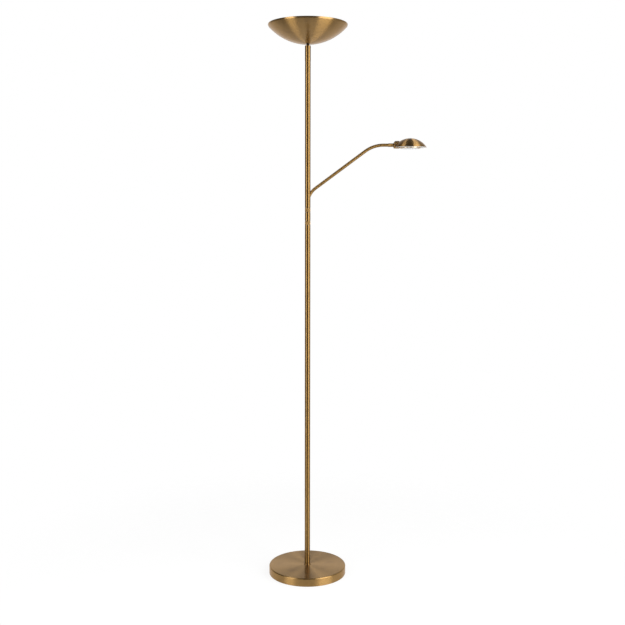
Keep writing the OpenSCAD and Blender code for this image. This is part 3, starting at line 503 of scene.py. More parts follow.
def brush_group():
    """Brush marks that run round the Z axis of a centred place."""
    tree, start, end = effect_tree(
        "brush marks", ("Tone", "Height"), number("Around", 3.0), number("Fine", 3000.0), number("Radial"),
        number("Axial", 1.0), number("Broad", 0.55))
    flat = flattened(tree, start["Vector"])
    reach = product(tree, vector_maths(tree, "LENGTH", flat), start["Radial"])
    height = parts(tree, start["Vector"])["Z"]
    across = maths(tree, "MULTIPLY_ADD", height, start["Axial"], reach)
    across = product(tree, across, start["Fine"])
    spoke = scaled(tree, vector_maths(tree, "NORMALIZE", flat), start["Around"])
    place = vector_maths(tree, "ADD", spoke, combined(tree, z=across))
    fine = noise(tree, place, 1.0)
    broad = noise(tree, vector_maths(tree, "MULTIPLY", place, BROAD_STRETCH), 1.0, BROAD_DETAIL)
    tone = maths(tree, "MULTIPLY_ADD", maths(tree, "SUBTRACT", broad, fine), start["Broad"], fine)
    tree.links.new(tone, end["Tone"])
    tree.links.new(fine, end["Height"])
    return tree


def cloud_group():
    """Soft patches, from 0 below Low to 1 above High."""
    tree, start, end = effect_tree(
        "soft patches", ("Mask",), number("Size", 20 * MM), number("Low", 0.4), number("High", 0.7))
    scale = maths(tree, "DIVIDE", 1, start["Size"])
    value = noise(tree, start["Vector"], scale, detail=5.0, roughness=0.6)
    mask = node(tree, "ShaderNodeMapRange",
                {"Value": value, "From Min": start["Low"], "From Max": start["High"]},
                interpolation_type="SMOOTHSTEP")
    tree.links.new(mask.outputs["Result"], end["Mask"])
    return tree


def grain_group():
    """Fine even grain, for cast, moulded and painted surfaces."""
    tree, start, end = effect_tree("fine grain", ("Tone", "Height"), number("Size", MM))
    scale = maths(tree, "DIVIDE", 1, start["Size"])
    small = noise(tree, start["Vector"], scale, 2.0)
    large = noise(tree, start["Vector"], product(tree, scale, COARSE_SCALE), 2.0)
    tone = maths(tree, "MULTIPLY_ADD", small, FINE_SHARE, product(tree, large, COARSE_SHARE))
    tree.links.new(tone, end["Tone"])
    tree.links.new(small, end["Height"])
    return tree


def wear_group():
    """Rubbed edges, broken up by grain."""
    tree, start, end = effect_tree("rubbed edges", ("Mask",), number("Radius", 0.6 * MM))
    rounded_normal = node(tree, "ShaderNodeBevel", {"Radius": start["Radius"]}, samples=4).outputs[0]
    normal = node(tree, "ShaderNodeNewGeometry").outputs["Normal"]
    turn = maths(tree, "SUBTRACT", 1, vector_maths(tree, "DOT_PRODUCT", rounded_normal, normal))
    grain = maths(tree, "MULTIPLY_ADD", noise(tree, start["Vector"], WEAR_SCALE), WEAR_BREAK, 1)
    broken = product(tree, turn, grain)
    mask = node(tree, "ShaderNodeMapRange", {"Value": broken, "From Min": WEAR_FIRST, "From Max": WEAR_FULL})
    tree.links.new(mask.outputs["Result"], end["Mask"])
    return tree


def dust_group():
    """Dust that has settled on what faces up."""
    tree, start, end = effect_tree("settled dust", ("Mask",), number("Amount", 0.1))
    normal = node(tree, "ShaderNodeNewGeometry").outputs["Normal"]
    up = parts(tree, normal)["Z"]
    lying = maths(tree, "POWER", maths(tree, "MAXIMUM", up, 0), DUST_SLOPE)
    patches = product(tree, noise(tree, start["Vector"], DUST_PATCH_SCALE), DUST_SHARE)
    specks = noise(tree, start["Vector"], SPECK_SCALE, 1.0)
    cover = maths(tree, "MULTIPLY_ADD", specks, DUST_SHARE, patches)
    amount = maths(tree, "MULTIPLY", product(tree, lying, cover), start["Amount"], clamp=True)
    tree.links.new(amount, end["Mask"])
    return tree


BRUSH = brush_group()
CLOUDS = cloud_group()
GRAIN = grain_group()
WEAR = wear_group()
DUST = dust_group()


# Finishes

# Sockets of a Mix node that takes colours
MIX_SHARE = 0
MIX_ONE = 6
MIX_TWO = 7
MIX_RESULT = 2


def place_in(tree, centre=(0, 0, 0), turn=(0, 0, 0)):
    """The place on a piece, measured from a centre and turned."""
    here = node(tree, "ShaderNodeTexCoord").outputs["Object"]
    moved = node(tree, "ShaderNodeMapping", {"Vector": here, "Location": [-c for c in centre]})
    return node(tree, "ShaderNodeMapping", {"Vector": moved.outputs[0], "Rotation": turn}).outputs[0]


def use(tree, group, **values):
    """A group in a material. A value's key is its input's name with underscores."""
    inputs = {key.replace("_", " "): value for key, value in values.items()}
    return node(tree, "ShaderNodeGroup", inputs, node_tree=group).outputs


def colour_mix(tree, share, one, two):
    """Two colours mixed: the first where the share is 0, the second where it is 1."""
    made = node(tree, "ShaderNodeMix", data_type="RGBA")
    for index, value in ((MIX_SHARE, share), (MIX_ONE, one), (MIX_TWO, two)):
        feed(tree, made.inputs[index], (*value, 1) if isinstance(value, tuple) else value)
    return made.outputs[MIX_RESULT]


def ranged(tree, value, low, high):
    """A value from 0 to 1 spread from low to high."""
    return maths(tree, "MULTIPLY_ADD", value, high - low, low)


def bump(tree, shader, height, depth, strength):
    """Feeds a height, as a share of a depth in metres, to the shader's normal."""
    made = node(tree, "ShaderNodeBump", {"Height": height, "Distance": depth, "Strength": strength})
    tree.links.new(made.outputs[0], shader.inputs["Normal"])


def new_finish(name, **constants):
    """A material with its Principled shader. A constant's key is its socket's name with underscores."""
    made = bpy.data.materials.new(name)
    made.use_nodes = True
    shader = made.node_tree.nodes["Principled BSDF"]
    for key, value in constants.items():
        shader.inputs[key.replace("_", " ")].default_value = value
    return made, made.node_tree, shader


BRASS_DEEP = (0.29, 0.165, 0.05)
BRASS_PALE = (0.41, 0.248, 0.09)
POLE_DEEP = (0.225, 0.127, 0.034)
POLE_PALE = (0.32, 0.188, 0.064)
RING_DEEP = (0.62, 0.5, 0.35)
RING_PALE = (0.74, 0.62, 0.46)
BRASS_TARNISH = (0.16, 0.078, 0.022)
BRASS_RUBBED = (0.62, 0.43, 0.19)
BRASS_EDGE = (0.92, 0.8, 0.68, 1)
BRASS_DUST = (0.5, 0.47, 0.42)
MOULDED_DUST = (0.5, 0.48, 0.45)

# Brass: how far tarnish and rubbing show, what marks, tarnish and dust do to the gloss, and the marks' depth
TARNISH_SHARE = 0.16
RUBBED_SHARE = 0.5
MARKS_SMOOTHER = 0.05
MARKS_ROUGHER = 0.07
TARNISH_ROUGHER = 0.05
DUST_ROUGHER = 0.4
DUST_COVER = 0.8
LACQUER_ROUGHNESS = 0.15
MARK_DEPTH = 0.02 * MM

# Turn of the stretched gloss against the piece's tangent, in whole turns
GLOSS_TURN = 0.25

# Plain metals: how far rubbed edges and patches show, how pale, dark and dull they are, and the grain
METAL_RUBBED_SHARE = 0.4
METAL_RUBBED_PALER = 1.3
METAL_PATCH_SHARE = 0.2
METAL_PATCH_DARKER = 0.6
METAL_PATCH_ROUGHER = 0.12
METAL_GRAIN_ROUGHER = 0.06
METAL_RELIEF = 0.5

# Plastic, rubber, foam and enamel: the share of patches and grain in the colour, and how dull they are
MOULDED_PATCH_SHARE = 0.4
MOULDED_GRAIN_SHARE = 0.6
MOULDED_PATCH_ROUGHER = 0.08
MOULDED_GRAIN_ROUGHER = 0.05


def brass_finish(name, place, tangent, radial=0.0, axial=1.0, fine=3000.0, around=3.0, roughness=0.3,
                 anisotropic=1.0, dust=0.15, lacquer=0.35, broad=0.55, relief=0.25,
                 deep=BRASS_DEEP, pale=BRASS_PALE):
    """Antique brass, brushed round the piece and lacquered."""
    made, tree, shader = new_finish(name, Metallic=1.0, Anisotropic=anisotropic,
                                    Anisotropic_Rotation=GLOSS_TURN, Specular_Tint=BRASS_EDGE,
                                    Coat_Weight=lacquer, Coat_Roughness=LACQUER_ROUGHNESS)
    where = place(tree)
    marks = use(tree, BRUSH, Vector=where, Around=around, Fine=fine, Radial=radial, Axial=axial, Broad=broad)
    patches = use(tree, CLOUDS, Vector=where, Size=35 * MM, Low=0.45, High=0.75)["Mask"]
    edges = use(tree, WEAR, Vector=where)["Mask"]
    dirt = use(tree, DUST, Vector=where, Amount=dust)["Mask"]
    colour = colour_mix(tree, marks["Tone"], deep, pale)
    colour = colour_mix(tree, product(tree, patches, TARNISH_SHARE), colour, BRASS_TARNISH)
    colour = colour_mix(tree, product(tree, edges, RUBBED_SHARE), colour, BRASS_RUBBED)
    colour = colour_mix(tree, dirt, colour, BRASS_DUST)
    tree.links.new(colour, shader.inputs["Base Color"])
    rough = ranged(tree, marks["Tone"], roughness - MARKS_SMOOTHER, roughness + MARKS_ROUGHER)
    rough = maths(tree, "MULTIPLY_ADD", patches, TARNISH_ROUGHER, rough)
    rough = maths(tree, "MULTIPLY_ADD", dirt, DUST_ROUGHER, rough)
    tree.links.new(rough, shader.inputs["Roughness"])
    bare = maths(tree, "SUBTRACT", 1, product(tree, dirt, DUST_COVER))
    tree.links.new(bare, shader.inputs["Metallic"])
    bump(tree, shader, marks["Height"], MARK_DEPTH, relief)
    tree.links.new(tangent(tree), shader.inputs["Tangent"])
    return made


def round_axis(axis):
    """The direction round an axis of the piece's own box."""
    return lambda tree: node(tree, "ShaderNodeTangent", direction_type="RADIAL", axis=axis).outputs[0]


def along_map(tree):
    """The direction in which the piece's own map runs round it."""
    return node(tree, "ShaderNodeTangent", direction_type="UV_MAP", uv_map="UVMap").outputs[0]


def tube_place(tree):
    """The place on the bent arm as if it were straight: round its section, and along it."""
    unrolled = node(tree, "ShaderNodeUVMap", uv_map="UVMap").outputs[0]
    part = parts(tree, unrolled)
    angle = product(tree, part["X"], TURN)
    x = product(tree, maths(tree, "COSINE", angle), ARM_RADIUS)
    y = product(tree, maths(tree, "SINE", angle), ARM_RADIUS)
    return combined(tree, x, y, part["Y"])


def centred(node_name, axis="Z"):
    """The place on a CAD node, from the middle of its box, with the given axis as Z."""
    low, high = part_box(node_name)
    turn = {"Z": (0, 0, 0), "X": (0, -math.pi / 2, 0)}[axis]
    return lambda tree: place_in(tree, (low + high) / 2, turn)


def metal_finish(name, colour, pale, roughness, size=1.2 * MM, metallic=1.0, depth=0.03 * MM):
    """Plated, blackened or extruded metal with a fine grain and dull patches."""
    made, tree, shader = new_finish(name, Metallic=metallic)
    where = place_in(tree)
    grain = use(tree, GRAIN, Vector=where, Size=size)
    patches = use(tree, CLOUDS, Vector=where, Size=12 * MM, Low=0.4, High=0.7)["Mask"]
    edges = use(tree, WEAR, Vector=where, Radius=0.4 * MM)["Mask"]
    dull = tuple(METAL_PATCH_DARKER * c for c in colour)
    rubbed = tuple(min(1, METAL_RUBBED_PALER * c) for c in pale)
    base = colour_mix(tree, grain["Tone"], colour, pale)
    base = colour_mix(tree, product(tree, patches, METAL_PATCH_SHARE), base, dull)
    base = colour_mix(tree, product(tree, edges, METAL_RUBBED_SHARE), base, rubbed)
    tree.links.new(base, shader.inputs["Base Color"])
    rough = ranged(tree, grain["Tone"], roughness - METAL_GRAIN_ROUGHER, roughness + METAL_GRAIN_ROUGHER)
    rough = maths(tree, "MULTIPLY_ADD", patches, METAL_PATCH_ROUGHER, rough)
    tree.links.new(rough, shader.inputs["Roughness"])
    bump(tree, shader, grain["Height"], depth, METAL_RELIEF)
    return made


def moulded_finish(name, colour, pale, roughness, size=0.8 * MM, depth=0.03 * MM, strength=0.4, dust=0.1,
                   **constants):
    """Plastic, rubber, foam, paint or enamel: an even colour with grain, soft patches and a little dust."""
    made, tree, shader = new_finish(name, **constants)
    where = place_in(tree)
    grain = use(tree, GRAIN, Vector=where, Size=size)
    patches = use(tree, CLOUDS, Vector=where, Size=30 * MM, Low=0.35, High=0.75)["Mask"]
    dirt = use(tree, DUST, Vector=where, Amount=dust)["Mask"]
    share = product(tree, grain["Tone"], MOULDED_GRAIN_SHARE)
    share = maths(tree, "MULTIPLY_ADD", patches, MOULDED_PATCH_SHARE, share)
    base = colour_mix(tree, share, colour, pale)
    base = colour_mix(tree, dirt, base, MOULDED_DUST)
    tree.links.new(base, shader.inputs["Base Color"])
    rough = ranged(tree, grain["Tone"], roughness - MOULDED_GRAIN_ROUGHER, roughness + MOULDED_GRAIN_ROUGHER)
    rough = maths(tree, "MULTIPLY_ADD", patches, MOULDED_PATCH_ROUGHER, rough)
    tree.links.new(rough, shader.inputs["Roughness"])
    bump(tree, shader, grain["Height"], depth, strength)
    return made


round_z = round_axis("Z")
pole_brass = brass_finish("brushed brass of the pole", place_in, round_z, roughness=0.3, lacquer=0.15,
                          broad=0.2, relief=0.06, deep=POLE_DEEP, pale=POLE_PALE)
spun_brass = brass_finish("spun brass of the bowl", place_in, round_z, radial=1.0, fine=1800.0, around=2.5,
                          roughness=0.33)
base_brass = brass_finish("spun brass of the base", place_in, round_z, radial=1.0, fine=1800.0, around=2.5,
                          roughness=0.33, anisotropic=0.92, dust=0.12, lacquer=0.2)
head_brass = brass_finish("spun brass of the head", centred("head_shell"), round_z, radial=1.0, axial=-1.0,
                          fine=2200.0, around=2.5, roughness=0.38)
lens_ring_brass = brass_finish("turned brass of the lens ring", centred("lens_ring"), round_z, radial=1.0,
                               deep=RING_DEEP, pale=RING_PALE)
knuckle_brass = brass_finish("turned brass of the knuckle", centred("swivel_knuckle", "X"), round_axis("X"),
                             roughness=0.4)
arm_brass = brass_finish("brushed brass of the arm", tube_place, along_map, roughness=0.26, lacquer=0.15,
                         broad=0.2, relief=0.06, deep=POLE_DEEP, pale=POLE_PALE)

screw_brass = metal_finish("brass screws", roughness=0.3, colour=(0.35, 0.22, 0.10), pale=(0.5, 0.34, 0.17))
plated_steel = metal_finish("plated steel", roughness=0.34, colour=(0.42, 0.42, 0.43),
                            pale=(0.62, 0.62, 0.63))
dark_stud = metal_finish("blackened stud", roughness=0.42, metallic=0.7, colour=(0.035, 0.028, 0.022),
                         pale=(0.09, 0.07, 0.05))
cast_iron = metal_finish("cast iron", roughness=0.62, size=2.5 * MM, metallic=0.6, depth=0.25 * MM,
                         colour=(0.10, 0.10, 0.105), pale=(0.2, 0.195, 0.19))
aluminium = metal_finish("extruded aluminium", roughness=0.38, size=0.6 * MM, colour=(0.62, 0.63, 0.64),
                         pale=(0.78, 0.79, 0.8))

foam = moulded_finish("foam pad", roughness=0.9, size=1.5 * MM, depth=0.4 * MM, strength=0.8,
                      colour=(0.03, 0.03, 0.03), pale=(0.075, 0.075, 0.075))
rubber = moulded_finish("black rubber", roughness=0.62, colour=(0.022, 0.022, 0.023), pale=(0.05, 0.05, 0.05))
black_plastic = moulded_finish("black plastic", roughness=0.48, colour=(0.03, 0.03, 0.03),
                               pale=(0.06, 0.06, 0.06))
sheath = moulded_finish("lead sheath", roughness=0.5, colour=(0.08, 0.08, 0.08), pale=(0.14, 0.14, 0.14))
white_plastic = moulded_finish("white plastic", roughness=0.45, colour=(0.74, 0.74, 0.71),
                               pale=(0.86, 0.86, 0.83))
board = moulded_finish("emitter board", roughness=0.3, Coat_Weight=0.3, colour=(0.8, 0.8, 0.76),
                       pale=(0.9, 0.9, 0.87))
enamel = moulded_finish("white enamel", roughness=0.36, size=2 * MM, colour=(0.78, 0.77, 0.73),
                        pale=(0.87, 0.86, 0.82))
opal = moulded_finish("opal", roughness=0.32, size=4 * MM, depth=0.01 * MM, strength=0.2, dust=0.12,
                      Subsurface_Weight=0.35, Subsurface_Radius=(0.012, 0.011, 0.010), Subsurface_Scale=1.0,
                      colour=(0.82, 0.82, 0.8), pale=(0.93, 0.93, 0.91))

POLE_NODES = ("pole_foot_ring", "lower_pole_tube", "middle_pole_tube", "dimmer_housing",
              "reading_dimmer_ring", "uplight_dimmer_ring", "upper_pole_tube", "top_ferrule")

FINISHES = {
    pole_brass: POLE_NODES, arm_brass: ("reading_arm",), spun_brass: ("bowl_shade",),
    base_brass: ("base_cover",),
    head_brass: ("head_shell",), lens_ring_brass: ("lens_ring",), knuckle_brass: ("swivel_knuckle",),
    screw_brass: ("opal_screws",),
    plated_steel: ("clamp_washer", "clamp_nut", "base_stud", "pole_foot_plug", "pole_joint_socket",
                   "pole_joint_spigot", "dimmer_core", "swivel_stop_screw", "swivel_spindle", "friction_nut",
                   "arm_spigot", "bowl_washer", "bowl_nut", "heat_sink_nut", "opal_posts", "roll_stop_screw",
                   "tilt_pin", "heat_sink_screw", "plate_screws"),
    dark_stud: ("neck_nipple",), cast_iron: ("ballast_disc",),
    aluminium: ("uplight_heat_sink", "head_heat_sink"), foam: ("base_pad",),
    rubber: ("cable_inlet_grommet", "friction_washer"),
    black_plastic: ("reading_dimmer_track", "uplight_dimmer_track", "arm_saddle"),
    sheath: ("supply_lead", "pole_lead", "reading_lead", "uplight_lead"),
    white_plastic: ("terminal_block", "led_driver", "thrust_washer"),
    board: ("uplight_led_board", "head_led_board"), enamel: ("head_plate",),
    opal: ("opal_plate", "reading_lens"),
}

for material, names in FINISHES.items():
    for name in names:
        for slot in NODES[name].material_slots:
            slot.material = material


# Pieces over the CAD nodes

BODIES = {empty: name for name, empty in frame["bodies"].items()}

# Faces round a small part
SMALL_SEGMENTS = 48

# Wall, rise and bends of the reading arm, and the steps of its bends and its length
ARM_WALL = 1.0 * MM
ARM_RISE = math.radians(36.5)
ARM_CORNER_UP = 44 * MM
LOWER_BEND = 62 * MM
UPPER_BEND = 100 * MM
BEND_STEPS = 32
ARM_ROWS = 220

# Dimmer rings: the core that they turn on, the track's pocket, the rounded edges and the flutes
CORE_RADIUS = 7.1 * MM
POCKET_RADIUS = 8.1 * MM
POCKET_DEPTH = 5.1 * MM
RING_EDGE = 0.8 * MM
RING_EDGE_STEPS = 5
FLUTES = 36
FLUTE_FACES = 12
CUTTER_RADIUS = 0.6 * MM
FLUTE_DEPTH = 0.35 * MM
FLUTE_MARGIN = 2 * MM
FLUTE_STEP = 0.01 * MM

# Bowl: dish arc, rim arc, wall, lip, flat seat and the hole for the neck, and the steps of its arcs
DISH_RADIUS = 171 * MM
RIM_RADIUS = 6.5 * MM
BOWL_WALL = 1.2 * MM
BOWL_LIP = 2 * MM
SEAT_RADIUS = 12 * MM
NECK_HOLE = 5.05 * MM
DISH_STEPS = 72
RIM_STEPS = 10
LIP_STEPS = 8
BOWL_SEGMENTS = 192

# Base: wall, rounded edge and its steps, hole for the stud and hole for the cable inlet
COVER_WALL = 1.2 * MM
COVER_EDGE = 4 * MM
COVER_STEPS = 12
COVER_SEGMENTS = 256
STUD_HOLE = 5.3 * MM
INLET_RADIUS = 4.5 * MM
INLET_HEIGHT = 11 * MM
INLET_LENGTH = 6 * COVER_WALL

# Neck: its bore, and the thread with its rows in a turn
NECK_BORE = 3.4 * MM
THREAD_PITCH = 1.0 * MM
THREAD_DEPTH = 0.45 * MM
THREAD_ROWS = 8

# Socket screws: their sizes, the ring that they stand on, the angle of the first in degrees, and which way
# their heads face, 1 up and -1 down
SCREW_COUNT = 3
SCREW_TIP = 0.3 * MM
OPAL_SCREWS = {
    "head_radius": 4 * MM, "head_height": 2.2 * MM, "edge": 0.8 * MM, "socket": 2.5 * MM,
    "socket_depth": 1.2 * MM, "shank_width": 4 * MM, "ring_radius": 53 * MM, "first": 90, "up": 1}
PLATE_SCREWS = {
    "head_radius": 2.25 * MM, "head_height": 1.3 * MM, "edge": 0.6 * MM, "socket": 1.5 * MM,
    "socket_depth": 0.8 * MM, "shank_width": 2.5 * MM, "ring_radius": 38.5 * MM, "first": 0, "up": -1}


def dress(piece, name):
    """The piece stands for a CAD node, which it hides, and moves with its body."""
    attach(piece, BODIES[NODES[name].parent])
    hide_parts(name)


def dish_arc(centre_z, radius, first, last):
    """Points of an arc about the axis between two angles in radians."""
    return arc(0, centre_z, radius, math.degrees(first), math.degrees(last), DISH_STEPS)


def make_bowl():
    """The dish rises to the rim, which rolls up and ends in a rounded lip."""
    low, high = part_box("bowl_shade")
    arc_r, arc_z = high.x - RIM_RADIUS, high.z - BOWL_LIP
    dish_z = arc_z + math.sqrt((DISH_RADIUS - RIM_RADIUS) ** 2 - arc_r ** 2)
    meet = math.atan2(arc_z - dish_z, arc_r)
    inner = DISH_RADIUS - BOWL_WALL
    seat_z = dish_z - math.sqrt(DISH_RADIUS ** 2 - SEAT_RADIUS ** 2)
    seat_turn = math.asin((seat_z - dish_z) / DISH_RADIUS)
    inner_turn = math.asin((seat_z + BOWL_WALL - dish_z) / inner)
    meet_turn = math.degrees(meet)
    half = BOWL_WALL / 2
    points = [(NECK_HOLE, seat_z)]
    points += dish_arc(dish_z, DISH_RADIUS, seat_turn, meet)
    points += arc(arc_r, arc_z, RIM_RADIUS, meet_turn, 0, RIM_STEPS)[1:]
    points += arc(high.x - half, high.z - half, half, 0, 180, LIP_STEPS)
    points += arc(arc_r, arc_z, RIM_RADIUS - BOWL_WALL, 0, meet_turn, RIM_STEPS)
    points += dish_arc(dish_z, inner, meet, inner_turn)[1:]
    points += [(NECK_HOLE, seat_z + BOWL_WALL), points[0]]
    dress(turned("bowl", points, spun_brass, BOWL_SEGMENTS), "bowl_shade")


def make_base():
    """The cover over the ballast, with the hole for the cable inlet at its back."""
    low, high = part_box("base_cover")
    edge_r, edge_z = high.x - COVER_EDGE, high.z - COVER_EDGE
    points = [(high.x - COVER_WALL, low.z), (high.x, low.z)]
    points += arc(edge_r, edge_z, COVER_EDGE, 0, 90, COVER_STEPS)
    points += [(STUD_HOLE, high.z), (STUD_HOLE, high.z - COVER_WALL)]
    points += arc(edge_r, edge_z, COVER_EDGE - COVER_WALL, 90, 0, COVER_STEPS)
    points.append(points[0])
    inlet = Matrix.Translation((0, high.y, INLET_HEIGHT)) @ Matrix.Rotation(math.pi / 2, 4, "X")
    shell = turned("base", points, base_brass, COVER_SEGMENTS)
    dress(cut(shell, rod(INLET_RADIUS, INLET_LENGTH, SMALL_SEGMENTS, inlet), "base"), "base_cover")


def make_neck():
    """The dark neck under the bowl, threaded all but at its ends."""
    low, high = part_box("neck_nipple")
    radius = high.x
    rows = round((high.z - low.z) / THREAD_PITCH * THREAD_ROWS)
    outer = [(radius, low.z + (high.z - low.z) * i / rows) for i in range(rows + 1)]
    points = [(NECK_BORE, low.z)] + outer + [(NECK_BORE, high.z), (NECK_BORE, low.z)]
    thread = (THREAD, {"Pitch": THREAD_PITCH, "Depth": THREAD_DEPTH, "Radius": radius,
                       "Low": low.z + THREAD_PITCH, "High": high.z - THREAD_PITCH})
    dress(turned("threaded_neck", points, dark_stud, SMALL_SEGMENTS, [thread]), "neck_nipple")


def make_ring(name, pocket_on_top):
    """A fluted ring, with the pocket for its track at one end of its bore."""
    low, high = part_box(name)
    z0, z1, radius = low.z, high.z, high.x
    flute_z0, flute_z1 = z0 + FLUTE_MARGIN, z1 - FLUTE_MARGIN
    side = [(radius, z) for z in (flute_z0 - FLUTE_STEP, flute_z0 + FLUTE_STEP, (z0 + z1) / 2,
                                  flute_z1 - FLUTE_STEP, flute_z1 + FLUTE_STEP)]
    floor_z = z1 - POCKET_DEPTH if pocket_on_top else z0 + POCKET_DEPTH
    lower_bore = CORE_RADIUS if pocket_on_top else POCKET_RADIUS
    upper_bore = POCKET_RADIUS if pocket_on_top else CORE_RADIUS
    points = [(lower_bore, floor_z), (lower_bore, z0)]
    points += arc(radius - RING_EDGE, z0 + RING_EDGE, RING_EDGE, -90, 0, RING_EDGE_STEPS)
    points += side
    points += arc(radius - RING_EDGE, z1 - RING_EDGE, RING_EDGE, 0, 90, RING_EDGE_STEPS)
    points += [(upper_bore, z1), (upper_bore, floor_z), (lower_bore, floor_z)]
    flutes = (FLUTE, {"Flutes": FLUTES, "Radius": radius, "Cutter_Radius": CUTTER_RADIUS,
                      "Depth": FLUTE_DEPTH, "Low": flute_z0, "High": flute_z1})
    knob = turned(name.replace("_dimmer_ring", "_knob"), points, pole_brass, FLUTE_FACES * FLUTES, [flutes])
    dress(knob, name)


def make_arm():
    """The arm follows one curve: up out of its seat, over the lower bend, up the slant and level on top."""
    low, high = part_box("reading_arm")
    level_z = high.z - ARM_RADIUS
    corner_z = JOINTS["upper_pole_swivel"].z + ARM_CORNER_UP
    turn = math.pi / 2 - ARM_RISE
    low_z = corner_z - LOWER_BEND * math.tan(turn / 2)
    top_x = (level_z - corner_z) / math.tan(ARM_RISE) + UPPER_BEND * math.tan(ARM_RISE / 2)
    points = [(0, low.z)]
    points += arc(LOWER_BEND, low_z, LOWER_BEND, 180, 180 - math.degrees(turn), BEND_STEPS)
    points += arc(top_x, level_z - UPPER_BEND, UPPER_BEND, 90 + math.degrees(ARM_RISE), 90, BEND_STEPS)
    points += [(high.x, level_z)]
    curve = bpy.data.curves.new("arm path", "CURVE")
    curve.dimensions = "3D"
    spline = curve.splines.new("POLY")
    spline.points.add(len(points) - 1)
    for point, (x, z) in zip(spline.points, points):
        point.co = (x, 0, z, 1)
    path = in_scene("arm path", curve)
    run_tree(path, BEND, Outer_Radius=ARM_RADIUS, Bore_Radius=ARM_RADIUS - ARM_WALL, Rows=ARM_ROWS,
             Segments=SMALL_SEGMENTS, Material=arm_brass)
    dress(plain_mesh(path, "bent_arm"), "reading_arm")


def make_screws(name, material, centre, head_radius, head_height, edge, socket, socket_depth, shank_width,
                ring_radius, first, up):
    """Socket screws in a ring about a centre."""
    low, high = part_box(name)
    seat = (high.z if up > 0 else low.z) - up * head_height
    crown = seat + up * head_height
    far = low.z if up > 0 else high.z
    shank = shank_width / 2
    points = [(0, crown), (head_radius - edge, crown), (head_radius, seat + up * (head_height - edge)),
              (head_radius, seat), (shank, seat), (shank, far + up * SCREW_TIP), (shank - SCREW_TIP, far),
              (0, far)]
    screw = turned("screw", points, material, SMALL_SEGMENTS)
    hexagon = rod(socket / math.sqrt(3), 2 * socket_depth, 6, Matrix.Translation((0, 0, crown)))
    screw = cut(screw, hexagon, "screw")
    run_tree(screw, RING, Count=SCREW_COUNT, Radius=ring_radius, First_Angle=math.radians(first),
             Centre=centre, Material=material)
    dress(plain_mesh(screw, name.replace("_screws", "_socket_screws")), name)


make_bowl()
make_base()
make_neck()
make_ring("reading_dimmer_ring", True)
make_ring("uplight_dimmer_ring", False)
make_arm()

head_low, head_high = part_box("head_plate")
head_centre = ((head_low.x + head_high.x) / 2, 0, 0)
make_screws("opal_screws", screw_brass, (0, 0, 0), **OPAL_SCREWS)
make_screws("plate_screws", plated_steel, head_centre, **PLATE_SCREWS)


# Studio: two tall soft boxes, a pale floor, and a white background that is a studio room in the metal

# Soft boxes: distance from the pole, height and height of the middle
BOX_DISTANCE = 2.0
BOX_HEIGHT = 3.8
BOX_MIDDLE = 1.95

# Room round the lamp: levels of light, and edges where they fade. Turns are in radians from straight behind
# the lamp. The other edges are parts of a direction, in which 1 is straight up or straight to the right.
BACKDROP_LEVEL = 0.9
BACKDROP_TURN = (math.radians(50), math.radians(34))
BACKDROP_TOP = (0.9, 0.6)
GROUND_NEAR = 0.25
GROUND_FAR = 0.8
GROUND_TURN = (math.radians(90), math.radians(40))
HORIZON = (0.01, -0.01)
RIGHT_FILL = 0.5
RIGHT_SIDE = (0.2, 0.9)
CEILING = 0.15
CEILING_EDGE = (0.8, 0.95)
ROOM = 0.06

# Floor: its size, the share of it that doesn't fade, how far it lies under the lamp, its faint unevenness,
# its own glow and matt white in the picture, and the white that lights the lamp from below
FLOOR_RADIUS = 1.3
FLOOR_SEGMENTS = 96
FLOOR_WHOLE = 0.35
FLOOR_DROP = 0.1 * MM
FLOOR_SCALE = 6.0
FLOOR_TONES = (0.985, 1.0)
FLOOR_GLOW = 0.88
FLOOR_MATT = 0.16
FLOOR_LIT = 0.8


def soft_box(name, azimuth, radiance, width):
    """A tall light that faces the pole. Its azimuth is in degrees from the camera's side, towards +X."""
    lamp = bpy.data.lights.new(name, "AREA")
    lamp.shape = "RECTANGLE"
    lamp.size, lamp.size_y = width, BOX_HEIGHT
    lamp.energy = math.pi * width * BOX_HEIGHT * radiance
    thing = in_scene(name, lamp)
    turn = math.radians(azimuth)
    thing.location = (BOX_DISTANCE * math.sin(turn), -BOX_DISTANCE * math.cos(turn), BOX_MIDDLE)
    thing.rotation_euler = (math.pi / 2, 0, turn)
    thing.visible_camera = False


def seen_rays(tree, mirrored):
    """1 for rays that come straight from the camera or through glass, and for mirrored ones if wanted."""
    path = node(tree, "ShaderNodeLightPath").outputs
    seen = maths(tree, "MAXIMUM", path["Is Camera Ray"], path["Is Transmission Ray"])
    return maths(tree, "MAXIMUM", seen, path["Is Glossy Ray"]) if mirrored else seen


def fade(tree, value, edges):
    """Rises softly from 0 at the first edge to 1 at the second."""
    made = node(tree, "ShaderNodeMapRange", {"Value": value, "From Min": edges[0], "From Max": edges[1]},
                interpolation_type="SMOOTHSTEP")
    return made.outputs["Result"]


def grey(tree, level):
    """A grey of a level that changes from place to place."""
    return combined(tree, level, level, level)


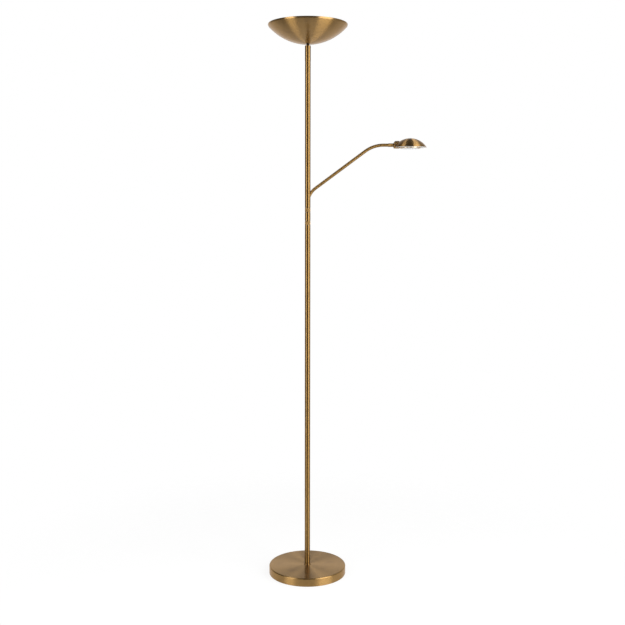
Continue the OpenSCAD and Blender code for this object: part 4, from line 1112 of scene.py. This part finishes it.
def light_world():
    """White as a background. The metal mirrors a dark room with a pale backdrop, ground, side and top."""
    world = bpy.data.worlds.new("studio")
    world.use_nodes = True
    tree = world.node_tree
    tree.nodes.clear()
    out = tree.nodes.new("ShaderNodeOutputWorld")
    direction = node(tree, "ShaderNodeTexCoord").outputs["Generated"]
    part = parts(tree, direction)
    turn = maths(tree, "ABSOLUTE", maths(tree, "ARCTAN2", part["X"], part["Y"]))
    behind = product(tree, fade(tree, part["Z"], BACKDROP_TOP), BACKDROP_LEVEL)
    behind = product(tree, fade(tree, turn, BACKDROP_TURN), behind)
    ground = ranged(tree, fade(tree, turn, GROUND_TURN), GROUND_NEAR, GROUND_FAR)
    below = product(tree, fade(tree, part["Z"], HORIZON), ground)
    right = product(tree, fade(tree, part["X"], RIGHT_SIDE), RIGHT_FILL)
    above = product(tree, fade(tree, part["Z"], CEILING_EDGE), CEILING)
    level = ROOM
    for surface in (behind, below, right, above, seen_rays(tree, mirrored=False)):
        level = maths(tree, "MAXIMUM", surface, level)
    back = node(tree, "ShaderNodeBackground", {"Color": grey(tree, level), "Strength": 1.0})
    tree.links.new(back.outputs[0], out.inputs["Surface"])
    bpy.context.scene.world = world


def pale_floor():
    """A round floor that keeps the lamp's shadow and fades into the white background."""
    work = bmesh.new()
    bmesh.ops.create_circle(work, cap_ends=True, segments=FLOOR_SEGMENTS, radius=FLOOR_RADIUS)
    mesh = bpy.data.meshes.new("floor")
    work.to_mesh(mesh)
    work.free()
    floor = in_scene("floor", mesh)
    floor.location.z = cad_box[0][2] - FLOOR_DROP
    made = bpy.data.materials.new("pale floor")
    made.use_nodes = True
    tree = made.node_tree
    tree.nodes.clear()
    out = tree.nodes.new("ShaderNodeOutputMaterial")
    here = place_in(tree)
    tone = ranged(tree, noise(tree, here, FLOOR_SCALE), *FLOOR_TONES)
    glow = node(tree, "ShaderNodeEmission", {"Color": grey(tree, tone), "Strength": FLOOR_GLOW})
    matt = node(tree, "ShaderNodeBsdfDiffuse", {"Color": (FLOOR_MATT, FLOOR_MATT, FLOOR_MATT, 1)})
    lit = node(tree, "ShaderNodeBsdfDiffuse", {"Color": (FLOOR_LIT, FLOOR_LIT, FLOOR_LIT, 1)})
    seen_floor = node(tree, "ShaderNodeAddShader", {0: glow.outputs[0], 1: matt.outputs[0]}).outputs[0]
    shown = seen_rays(tree, mirrored=True)
    solid = node(tree, "ShaderNodeMixShader", {0: shown, 1: lit.outputs[0], 2: seen_floor}).outputs[0]
    edge = fade(tree, vector_maths(tree, "LENGTH", here), (FLOOR_WHOLE * FLOOR_RADIUS, FLOOR_RADIUS))
    from_below = node(tree, "ShaderNodeNewGeometry").outputs["Backfacing"]
    open_share = maths(tree, "MAXIMUM", edge, from_below)
    clear = node(tree, "ShaderNodeBsdfTransparent").outputs[0]
    done = node(tree, "ShaderNodeMixShader", {0: open_share, 1: solid, 2: clear})
    tree.links.new(done.outputs[0], out.inputs["Surface"])
    mesh.materials.append(made)


soft_box("left soft box", azimuth=-52, radiance=3.6, width=0.95)
soft_box("right soft box", azimuth=53, radiance=4.1, width=1.55)
light_world()
pale_floor()
bpy.context.scene.view_settings.view_transform = "Standard"
